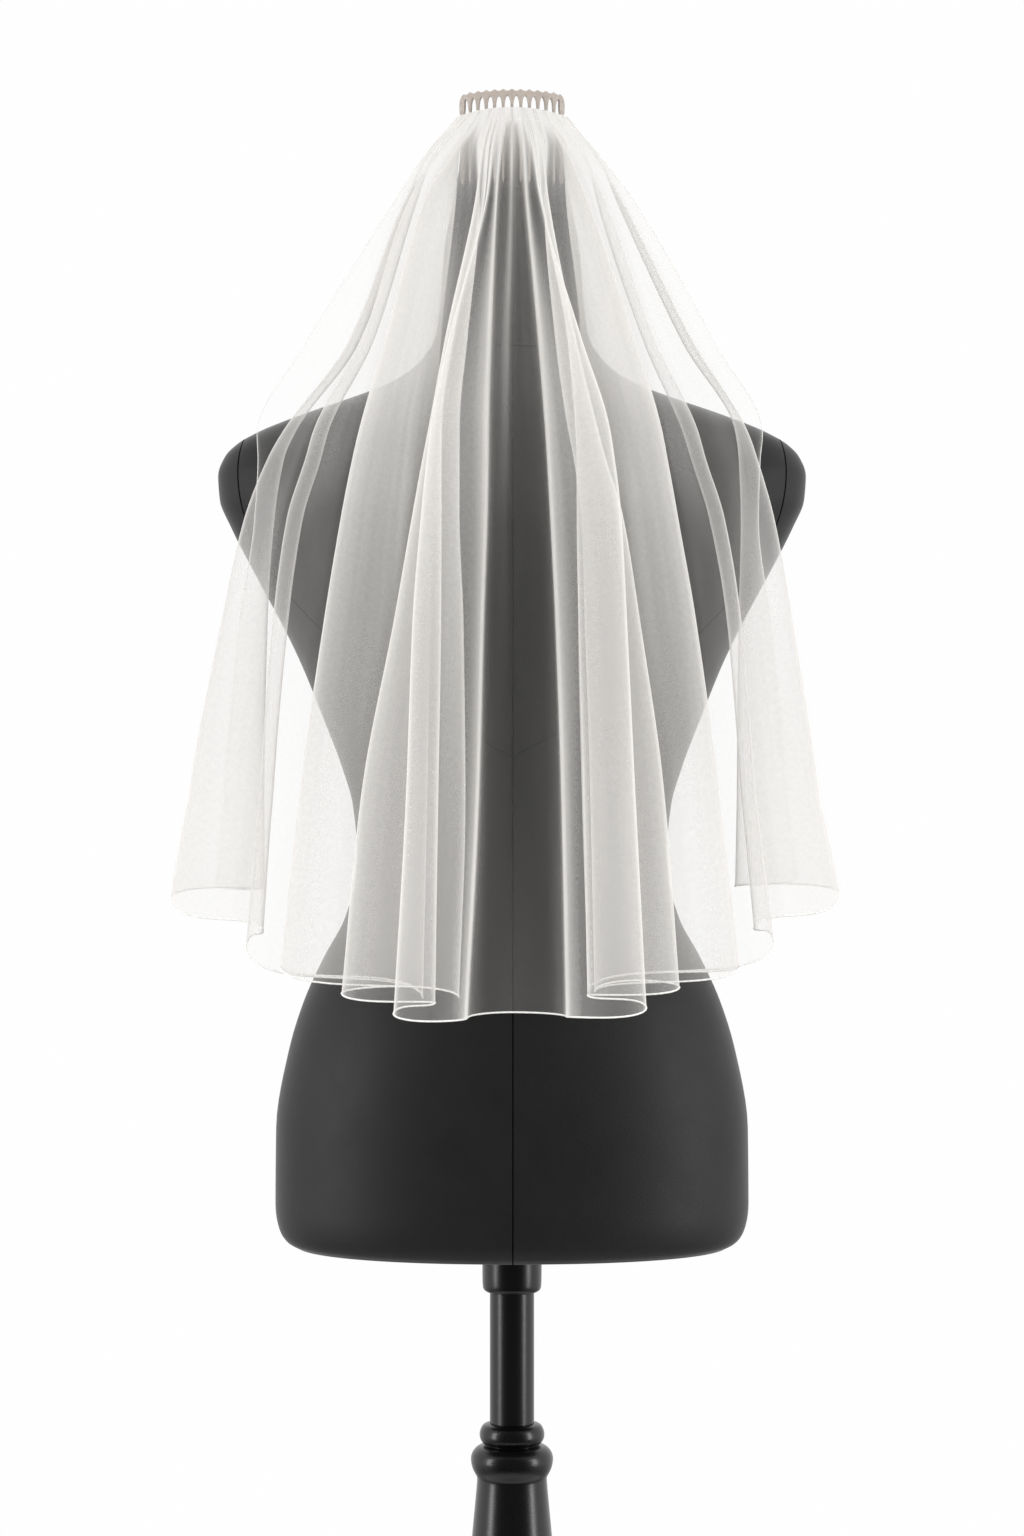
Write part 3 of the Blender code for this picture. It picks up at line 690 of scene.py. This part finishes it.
def comb_bend(place, out, height):
    """Points on the comb, bent about an upright axis, so far out from its middle."""
    angle = place / COMB_BEND_RADIUS
    radius = COMB_BEND_RADIUS + out
    return np.stack(np.broadcast_arrays(
        radius * np.sin(angle),
        -(COMB_BACK - COMB_BEND_RADIUS + radius * np.cos(angle)), height), axis=-1)


def comb_spine():
    """The comb's spine as a ring of points across its width: its top is scalloped over
    each tooth and rounded off at the ends, its underside is a row of half ellipses."""
    half = COMB_WIDTH / 2
    place = np.linspace(-half, half, COMB_SPINE_STEPS)
    arch = COMB_ARCH * (place / half)**2
    dip = np.abs(np.sin(np.pi * place / COMB_PITCH))**COMB_SCALLOP_POWER
    wave = COMB_SCALLOP * (1 - dip)
    into_corner = np.clip((np.abs(place) - (half - COMB_CORNER)) / COMB_CORNER, 0, 1)
    corner = COMB_CORNER * (1 - np.sqrt(1 - into_corner**2))
    top = COMB_TOP - COMB_SCALLOP - arch + wave * (1 - into_corner) - corner
    to_gap = np.abs((place / COMB_PITCH) % 1.0 - 0.5) * COMB_PITCH
    to_gap = np.where(np.abs(place) > half - COMB_END_TOOTH, COMB_GAP_HALF, to_gap)
    lift = np.sqrt(np.clip(1 - (to_gap / COMB_GAP_HALF)**2, 0, 1))
    low = COMB_TOP - arch - COMB_SPINE - COMB_GAP_ARCH * (1 - lift)
    low = np.minimum(low, top - COMB_SPINE_LEAST)
    turn = full_turn(COMB_SPINE_SIDES)[:, None]
    up_power, out_power = COMB_SPINE_POWERS
    up = squared(np.sin(turn), up_power)
    out = squared(np.cos(turn), out_power)
    height = (top + low) / 2 + (top - low) / 2 * up
    return comb_bend(place[None, :], COMB_THICK / 2 * out, height)


def comb_teeth():
    """The comb's teeth: each a flattened round that narrows to its rounded tip."""
    half = COMB_WIDTH / 2
    centre = (np.arange(COMB_TEETH) - (COMB_TEETH - 1) / 2) * COMB_PITCH
    wide = np.full(COMB_TEETH, COMB_PITCH / 2 - COMB_GAP_HALF)
    wide[[0, -1]] = COMB_END_TOOTH / 2
    share = np.linspace(0, 1, TOOTH_STEPS)
    into_tip = np.clip(share - (1 - TOOTH_TIP), 0, 1) / TOOTH_TIP
    tip = np.sqrt(np.clip(1 - into_tip**2, 0, 1))
    taper = (1 - TOOTH_TAPER * share) * np.maximum(tip, TOOTH_TIP_LEAST)
    root = COMB_TOP - COMB_ARCH * (centre / half)**2 - COMB_SPINE - TOOTH_ROOT
    height = root[:, None] + (TOOTH_END - root[:, None]) * share
    turn = full_turn(TOOTH_SIDES)[None, :, None]
    side = squared(np.cos(turn), TOOTH_POWER)
    out = squared(np.sin(turn), TOOTH_POWER)
    place = centre[:, None, None] + wide[:, None, None] * taper * side
    return comb_bend(place, COMB_THICK / 2 * TOOTH_FLAT * taper * out, height[:, None, :])


# Finishes
def linear(code):
    """An sRGB hex colour as linear red, green, blue and full alpha."""
    value = np.array([int(code[i:i + 2], 16) for i in (1, 3, 5)]) / 255
    value = np.where(value <= 0.04045, value / 12.92, ((value + 0.055) / 1.055)**2.4)
    return (*value.tolist(), 1.0)


def add_node(tree, kind, links=(), **settings):
    """Adds a node: settings are its own properties, and links pairs each input's name
    or number with a value or with the output that feeds it."""
    made = tree.nodes.new(kind)
    for name, value in settings.items():
        setattr(made, name, value)
    for name, value in links:
        if isinstance(value, bpy.types.NodeSocket):
            tree.links.new(value, made.inputs[name])
        else:
            made.inputs[name].default_value = value
    return made


def new_finish(name):
    """An empty node material and its tree."""
    made = bpy.data.materials.new(name)
    made.use_nodes = True
    made.node_tree.nodes.clear()
    return made, made.node_tree


def tulle_finish():
    """Ivory nylon bobbinet tulle, knitted as a hexagonal net about 1 mm across and heat
    set: a thin, slightly crisp film of thread that lets most light through face on and
    turns milky where it is seen along its face."""
    finish, tree = new_finish("nylon_bobbinet_tulle")
    cut = add_node(tree, "ShaderNodeUVMap", uv_map="cut")
    # The net is drawn at 1.5 mm, half as coarse again as the real one, so that it shows
    net = add_node(tree, "ShaderNodeTexVoronoi", [("Vector", cut.outputs[0]), ("Scale", 1000 / 1.5),
                   ("Randomness", 0.35)], feature="F1", voronoi_dimensions="2D")
    thread = add_node(tree, "ShaderNodeMapRange", [("Value", net.outputs["Distance"]),
                      ("From Min", 0.3), ("From Max", 0.6), ("To Min", 0.95), ("To Max", 1.07)])
    # Soft lengthwise bands about 12 mm wide and 250 mm long, where the cloth bunches
    bands = add_node(tree, "ShaderNodeMapping", [("Vector", cut.outputs[0]),
                     ("Scale", (80.0, 4.0, 1.0))])
    bunch = add_node(tree, "ShaderNodeTexNoise", [("Vector", bands.outputs[0]), ("Scale", 1.0),
                     ("Detail", 1.0), ("Roughness", 0.5)], noise_dimensions="2D")
    banded = add_node(tree, "ShaderNodeMapRange", [("Value", bunch.outputs["Fac"]),
                      ("From Min", 0.3), ("From Max", 0.7), ("To Min", 0.90), ("To Max", 1.10)])
    # Crumple: creases a few millimetres long in all directions
    crumple = add_node(tree, "ShaderNodeTexNoise", [("Vector", cut.outputs[0]), ("Scale", 260.0),
                       ("Detail", 1.0), ("Roughness", 0.6)], noise_dimensions="2D")
    crumpled = add_node(tree, "ShaderNodeMapRange", [("Value", crumple.outputs["Fac"]),
                        ("From Min", 0.3), ("From Max", 0.7), ("To Min", 0.95), ("To Max", 1.05)])
    ply = add_node(tree, "ShaderNodeAttribute", attribute_name="ply")
    facing = add_node(tree, "ShaderNodeLayerWeight", [("Blend", 0.5)])
    square_on = add_node(tree, "ShaderNodeMath", [(0, 1.0), (1, facing.outputs["Facing"])],
                         operation="SUBTRACT")
    square_on = add_node(tree, "ShaderNodeMath", [(0, square_on.outputs[0]),
                         (1, TULLE_LEAST_FACING)], operation="MAXIMUM")
    # The cover of so much cloth seen at that slant: 1 - exp(-cloth / square_on)
    cloth = add_node(tree, "ShaderNodeMath", [(0, ply.outputs["Fac"]), (1, THREAD_COVER)],
                     operation="MULTIPLY")
    for pattern in (thread, banded, crumpled):
        cloth = add_node(tree, "ShaderNodeMath", [(0, cloth.outputs[0]), (1, pattern.outputs[0])],
                         operation="MULTIPLY")
    crossed = add_node(tree, "ShaderNodeMath", [(0, cloth.outputs[0]), (1, square_on.outputs[0])],
                       operation="DIVIDE")
    missed = add_node(tree, "ShaderNodeMath", [(0, crossed.outputs[0]), (1, -1.0)],
                      operation="MULTIPLY")
    missed = add_node(tree, "ShaderNodeMath", [(0, missed.outputs[0])], operation="EXPONENT")
    cover = add_node(tree, "ShaderNodeMath", [(0, 1.0), (1, missed.outputs[0])],
                     operation="SUBTRACT")
    front = add_node(tree, "ShaderNodeBsdfDiffuse", [("Color", linear(TULLE_FRONT))])
    through = add_node(tree, "ShaderNodeBsdfTranslucent", [("Color", linear(TULLE_THROUGH))])
    thread_light = add_node(tree, "ShaderNodeMixShader", [(0, TULLE_THROUGH_SHARE),
                            (1, front.outputs[0]), (2, through.outputs[0])])
    clear = add_node(tree, "ShaderNodeBsdfTransparent")
    shown = add_node(tree, "ShaderNodeMixShader", [(0, cover.outputs[0]), (1, clear.outputs[0]),
                     (2, thread_light.outputs[0])])
    add_node(tree, "ShaderNodeOutputMaterial", [("Surface", shown.outputs[0])])
    return finish


def thread_finish():
    """White spun polyester sewing thread, twisted and matt, laid in a dense pencil edge."""
    finish, tree = new_finish("spun_polyester_thread")
    place = add_node(tree, "ShaderNodeTexCoord")
    # The stitches of a pencil edge lie about 1.2 mm apart; they are drawn four times as
    # coarse so that they show
    twist = add_node(tree, "ShaderNodeTexWave", [("Vector", place.outputs["Object"]),
                     ("Scale", 130.0), ("Distortion", 1.5), ("Detail", 1.0)],
                     wave_type="BANDS", bands_direction="DIAGONAL")
    shade = add_node(tree, "ShaderNodeMix", [(0, twist.outputs["Fac"]), (6, linear("#F0EEEA")),
                     (7, linear("#FFFEFC"))], data_type="RGBA")
    bump = add_node(tree, "ShaderNodeBump", [("Strength", 0.3), ("Distance", 0.0002),
                    ("Height", twist.outputs["Fac"])])
    shader = add_node(tree, "ShaderNodeBsdfPrincipled", [("Base Color", shade.outputs[2]),
                      ("Roughness", 0.75), ("Sheen Weight", 0.2), ("Normal", bump.outputs[0])])
    add_node(tree, "ShaderNodeOutputMaterial", [("Surface", shader.outputs[0])])
    return finish


def comb_finish():
    """Injection-moulded taupe acrylic, slightly cloudy: smooth faces with a soft gloss,
    paler where the melt flowed together between the teeth."""
    finish, tree = new_finish("moulded_taupe_acrylic")
    place = add_node(tree, "ShaderNodeTexCoord")
    # Flow clouds about 5 mm across
    cloud = add_node(tree, "ShaderNodeTexNoise", [("Vector", place.outputs["Object"]),
                     ("Scale", 200.0), ("Detail", 3.0), ("Roughness", 0.55)])
    shade = add_node(tree, "ShaderNodeMix", [(0, cloud.outputs["Fac"]), (6, linear("#ABA097")),
                     (7, linear("#BEB4AB"))], data_type="RGBA")
    gloss = add_node(tree, "ShaderNodeMapRange", [("Value", cloud.outputs["Fac"]),
                     ("To Min", 0.28), ("To Max", 0.42)])
    shader = add_node(tree, "ShaderNodeBsdfPrincipled", [("Base Color", shade.outputs[2]),
                      ("Roughness", gloss.outputs[0]), ("IOR", 1.49),
                      ("Subsurface Weight", 0.25), ("Subsurface Radius", (0.9, 0.8, 0.7)),
                      ("Subsurface Scale", 0.002)])
    add_node(tree, "ShaderNodeOutputMaterial", [("Surface", shader.outputs[0])])
    return finish


def cover_finish():
    """Charcoal-black knitted cotton jersey, drawn tight and stitched together along the
    middle of the back and front, round the neck and round each armhole."""
    finish, tree = new_finish("black_cotton_jersey")
    place = add_node(tree, "ShaderNodeTexCoord")
    axes = add_node(tree, "ShaderNodeSeparateXYZ", [(0, place.outputs["Object"])])
    x, z = axes.outputs["X"], axes.outputs["Z"]
    # How far each point is from the back seam, the neck seam and the armhole seams
    middle = add_node(tree, "ShaderNodeMath", [(0, x), (1, BACK_SEAM)], operation="SUBTRACT")
    middle = add_node(tree, "ShaderNodeMath", [(0, middle.outputs[0])], operation="ABSOLUTE")
    neck = add_node(tree, "ShaderNodeMath", [(0, z), (1, NECK_SEAM)], operation="SUBTRACT")
    neck = add_node(tree, "ShaderNodeMath", [(0, neck.outputs[0])], operation="ABSOLUTE")
    out, up, ease = ARMHOLE_SEAM
    wide = add_node(tree, "ShaderNodeMath", [(0, x)], operation="ABSOLUTE")
    wide = add_node(tree, "ShaderNodeMath", [(0, wide.outputs[0]), (1, out)],
                    operation="SUBTRACT")
    rise = add_node(tree, "ShaderNodeMath", [(0, z), (1, up)], operation="SUBTRACT")
    rise = add_node(tree, "ShaderNodeMath", [(0, rise.outputs[0]), (1, 2.0)], operation="POWER")
    rise = add_node(tree, "ShaderNodeMath", [(0, rise.outputs[0]), (1, 1 / ease)],
                    operation="MULTIPLY")
    arm = add_node(tree, "ShaderNodeMath", [(0, wide.outputs[0]), (1, rise.outputs[0])],
                   operation="ADD")
    arm = add_node(tree, "ShaderNodeMath", [(0, arm.outputs[0])], operation="ABSOLUTE")
    nearest = add_node(tree, "ShaderNodeMath", [(0, middle.outputs[0]), (1, neck.outputs[0])],
                       operation="MINIMUM")
    nearest = add_node(tree, "ShaderNodeMath", [(0, nearest.outputs[0]), (1, arm.outputs[0])],
                       operation="MINIMUM")
    # Each seam is a dull groove about 1 mm wide
    seam = add_node(tree, "ShaderNodeMapRange", [("Value", nearest.outputs[0]),
                    ("From Min", 0.0002), ("From Max", 0.0008), ("To Min", 1.0), ("To Max", 0.0)],
                    interpolation_type="SMOOTHSTEP")
    # The jersey's wales lie 0.8 mm apart; drawn at 1.4 mm so that they show
    knit = add_node(tree, "ShaderNodeTexVoronoi", [("Vector", place.outputs["Object"]),
                    ("Scale", 1000 / 1.4)])
    # Its surface fuzz lies in soft patches about 20 mm across
    pile = add_node(tree, "ShaderNodeTexNoise", [("Vector", place.outputs["Object"]),
                    ("Scale", 45.0), ("Detail", 4.0), ("Roughness", 0.6)])
    tone = add_node(tree, "ShaderNodeMix", [(0, pile.outputs["Fac"]), (6, linear("#101010")),
                    (7, linear("#181818"))], data_type="RGBA")
    tone = add_node(tree, "ShaderNodeMix", [(0, seam.outputs[0]), (6, tone.outputs[2]),
                    (7, linear("#010101"))], data_type="RGBA")
    # The knit stands a quarter as high as a seam is deep
    knit_height = add_node(tree, "ShaderNodeMath", [(0, knit.outputs["Distance"]), (1, -0.25)],
                           operation="MULTIPLY")
    height = add_node(tree, "ShaderNodeMath", [(0, knit_height.outputs[0]),
                      (1, seam.outputs[0])], operation="SUBTRACT")
    bump = add_node(tree, "ShaderNodeBump", [("Strength", 0.35), ("Distance", 0.0006),
                    ("Height", height.outputs[0])])
    rough = add_node(tree, "ShaderNodeMapRange", [("Value", pile.outputs["Fac"]),
                     ("To Min", 0.52), ("To Max", 0.64)])
    fuzz = add_node(tree, "ShaderNodeMapRange", [("Value", seam.outputs[0]),
                    ("To Min", 0.22), ("To Max", 0.0)])
    dull = add_node(tree, "ShaderNodeMapRange", [("Value", seam.outputs[0]),
                    ("To Min", 0.4), ("To Max", 0.0)])
    shader = add_node(tree, "ShaderNodeBsdfPrincipled", [("Base Color", tone.outputs[2]),
                      ("Roughness", rough.outputs[0]), ("Specular IOR Level", dull.outputs[0]),
                      ("Sheen Weight", fuzz.outputs[0]), ("Sheen Roughness", 0.3),
                      ("Normal", bump.outputs[0])])
    add_node(tree, "ShaderNodeOutputMaterial", [("Surface", shader.outputs[0])])
    return finish


def black_finish(name, roughness, scale, stretch, depth):
    """Satin black over a turned stand: a smooth even film whose soft highlights run down
    the round. The film's orange peel or grain has a pitch of 1 / scale metres, drawn
    out by stretch down the piece, and stands depth metres proud."""
    finish, tree = new_finish(name)
    place = add_node(tree, "ShaderNodeTexCoord")
    laid = add_node(tree, "ShaderNodeMapping", [("Vector", place.outputs["Object"]),
                    ("Scale", (scale, scale, scale / stretch))])
    grain = add_node(tree, "ShaderNodeTexNoise", [("Vector", laid.outputs[0]), ("Scale", 1.0),
                     ("Detail", 3.0), ("Roughness", 0.55)])
    tone = add_node(tree, "ShaderNodeMix", [(0, grain.outputs["Fac"]), (6, linear("#040404")),
                    (7, linear("#0A0A0A"))], data_type="RGBA")
    rough = add_node(tree, "ShaderNodeMapRange", [("Value", grain.outputs["Fac"]),
                     ("To Min", roughness - 0.03), ("To Max", roughness + 0.03)])
    bump = add_node(tree, "ShaderNodeBump", [("Strength", 0.07), ("Distance", depth),
                    ("Height", grain.outputs["Fac"])])
    shader = add_node(tree, "ShaderNodeBsdfPrincipled", [("Base Color", tone.outputs[2]),
                      ("Roughness", rough.outputs[0]), ("Specular IOR Level", 0.5),
                      ("Normal", bump.outputs[0])])
    add_node(tree, "ShaderNodeOutputMaterial", [("Surface", shader.outputs[0])])
    return finish


tulle = tulle_finish()
thread = thread_finish()
acrylic = comb_finish()
jersey = cover_finish()
# Powder coat: orange peel about 2 mm across
powder_coat = black_finish("satin_black_powder_coat", 0.30, 500.0, 1.0, 0.00005)
# Lacquered beech: pores about 1 mm wide and 20 mm long under the film
lacquer = black_finish("satin_black_lacquered_beech", 0.27, 900.0, 20.0, 0.00006)

# The tulle panel
points, ply, cut = veil_surface()
columns, rows = points.shape[:2]
veil = add_piece("veil_tulle", points, grid_quads(columns, rows), tulle)
amount = veil.data.attributes.new("ply", "FLOAT", "POINT")
amount.data.foreach_set("value", ply.reshape(-1).astype(np.float32))
corner = np.zeros(len(veil.data.loops), np.int32)
veil.data.loops.foreach_get("vertex_index", corner)
layout = veil.data.uv_layers.new(name="cut")
layout.uv.foreach_set("vector", (cut.reshape(-1, 2)[corner] * MM).reshape(-1).astype(np.float32))
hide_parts("veil_panel")

# Pencil edge, down one side, round the hem and up the other side
normal = surface_normals(points)
border, border_out = (
    np.concatenate([grid[0, EDGE_START:-1], grid[:, -1], grid[-1, -2:EDGE_START - 1:-1]])
    for grid in (points, normal))
below = share_from(border[:, 2], *EDGE_THICKENS)
edge_radius = EDGE_SIDE_RADIUS + (EDGE_RADIUS - EDGE_SIDE_RADIUS) * below
edge_points = tube(border, border_out, edge_radius, EDGE_SIDES)
pencil_edge = add_piece("pencil_edge", edge_points,
                        grid_quads(EDGE_SIDES, len(border), closed=True), thread)

# Gathering stitches, which stand straight out from the veil's back
outward = -np.abs(normal[:, STITCH_ROW]) * (0, 1, 0)
stitches = running_stitches(points[:, STITCH_ROW], outward)
cords, sides, steps = stitches.shape[:3]
one_stitch = grid_quads(sides, steps, closed=True)
stitch_quads = one_stitch[None] + (np.arange(cords) * sides * steps)[:, None, None]
gathering = add_piece("gathering_stitches", stitches, stitch_quads.reshape(-1, 4), thread)

# Comb
spine = comb_spine()
teeth = comb_teeth()
spine_quads = grid_quads(*spine.shape[:2], closed=True)
one_tooth = grid_quads(*teeth.shape[1:3], closed=True)
each = np.arange(COMB_TEETH)[:, None, None] * teeth.shape[1] * teeth.shape[2]
tooth_quads = (each + one_tooth[None] + spine.shape[0] * spine.shape[1]).reshape(-1, 4)
comb = add_piece("moulded_comb", np.concatenate([spine.reshape(-1, 3), teeth.reshape(-1, 3)]),
                 np.concatenate([spine_quads, tooth_quads]), acrylic)
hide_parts("hair_comb")

# Form
form_points, form_quads, form_ends = closed_rings(form_rings())
form = add_piece("form_cover", form_points, form_quads, jersey, sharp=FORM_SHARP,
                 triangles=form_ends)
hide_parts("form_body")

# Stand
for name, node, profile, times, finish, slot in (
        ("turned_collar", "stand_collar", COLLAR_PROFILE, 2, powder_coat, "stand_metal"),
        ("drawn_post", "stand_post", POST_PROFILE, 3, powder_coat, "stand_metal"),
        ("turned_column", "stand_column", COLUMN_PROFILE, 2, lacquer, "stand_wood"),
        ("turned_base", "stand_base", BASE_PROFILE, 2, lacquer, "stand_wood")):
    ring_points, ring_quads, ring_ends = closed_rings(turned_rings(profile, times))
    made = add_piece(name, ring_points, ring_quads, finish, sharp=STAND_SHARP,
                     triangles=ring_ends)
    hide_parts(node)

# Floor: a pale disc just under the base, which shows where the base stands
FLOOR_RADIUS = 0.6
FLOOR_SIDES = 128
FLOOR_DROP = 0.0005
turn = full_turn(FLOOR_SIDES)
rim = FLOOR_RADIUS * np.stack([np.cos(turn), np.sin(turn), 0 * turn], axis=1)
floor_mesh = bpy.data.meshes.new("pale_floor")
floor_mesh.from_pydata((rim - (0, 0, FLOOR_DROP)).tolist(), [], [list(range(FLOOR_SIDES))])
paper, paper_tree = new_finish("grey_paper_floor")
paper_shader = add_node(paper_tree, "ShaderNodeBsdfPrincipled", [
    ("Base Color", linear("#D8D8D7")), ("Roughness", 0.8), ("Specular IOR Level", 0.2)])
add_node(paper_tree, "ShaderNodeOutputMaterial", [("Surface", paper_shader.outputs[0])])
floor_mesh.materials.append(paper)
floor = bpy.data.objects.new("pale_floor", floor_mesh)
scene.collection.objects.link(floor)

# A white room: it is seen at full strength and lights the object more softly, least
# from the side where the camera stands in the dark and from the floor
SEEN_WHITE = 0.992
ROOM_LIGHT = 1.05
ROOM_DARK = 0.10
FLOOR_SHADE = 0.35
# Y and Z of the directions between which the light falls off
DARK_SIDE = (-0.8, -0.1)
DARK_FLOOR = (-0.6, -0.1)
room = bpy.data.worlds.new("white_room")
room.use_nodes = True
room.node_tree.nodes.clear()
tree = room.node_tree
ray = add_node(tree, "ShaderNodeLightPath")
toward = add_node(tree, "ShaderNodeTexCoord")
toward = add_node(tree, "ShaderNodeSeparateXYZ", [(0, toward.outputs["Generated"])])
aside, above = (
    add_node(tree, "ShaderNodeMapRange", [("Value", toward.outputs[axis]), ("From Min", start),
             ("From Max", end), ("To Min", least), ("To Max", most)],
             interpolation_type="SMOOTHSTEP")
    for axis, (start, end), least, most in (("Y", DARK_SIDE, ROOM_DARK, ROOM_LIGHT),
                                            ("Z", DARK_FLOOR, FLOOR_SHADE, 1.0)))
falls = add_node(tree, "ShaderNodeMath", [(0, aside.outputs[0]), (1, above.outputs[0])],
                 operation="MULTIPLY")
seen = add_node(tree, "ShaderNodeBackground", [("Color", (1, 1, 1, 1)), ("Strength", SEEN_WHITE)])
lit = add_node(tree, "ShaderNodeBackground", [("Color", (1, 1, 1, 1)),
               ("Strength", falls.outputs[0])])
both = add_node(tree, "ShaderNodeMixShader", [(0, ray.outputs["Is Camera Ray"]),
                (1, lit.outputs[0]), (2, seen.outputs[0])])
add_node(tree, "ShaderNodeOutputWorld", [("Surface", both.outputs[0])])
scene.world = room

# Softboxes: place, aim, width and height in metres, watts, whether they show as highlights
SOFTBOXES = dict(
    front_left=((-1.5, -3.4, 1.7), (0.0, -0.1, 1.15), 1.6, 1.6, 53, False),
    front_right=((1.5, -3.4, 1.7), (0.0, -0.1, 1.15), 1.6, 1.6, 53, False),
    side_left=((-2.1, -0.9, 0.95), (0.0, 0.0, 0.9), 0.45, 1.7, 20, True),
    side_right=((2.1, -0.9, 0.95), (0.0, 0.0, 0.9), 0.45, 1.7, 20, True))
for name, (place, aim, width, height, watts, shows) in SOFTBOXES.items():
    light = bpy.data.lights.new(name, "AREA")
    light.shape = "RECTANGLE"
    light.size = width
    light.size_y = height
    light.energy = watts
    holder = bpy.data.objects.new(name, light)
    away = np.array(place) - np.array(aim)
    holder.location = place
    holder.rotation_euler = (np.arctan2(np.hypot(away[0], away[1]), away[2]), 0.0,
                             np.arctan2(away[0], -away[1]))
    holder.visible_camera = False
    holder.visible_glossy = shows
    scene.collection.objects.link(holder)

scene.view_settings.view_transform = "Standard"
scene.cycles.transparent_max_bounces = 36
scene.cycles.max_bounces = 4
scene.cycles.diffuse_bounces = 3
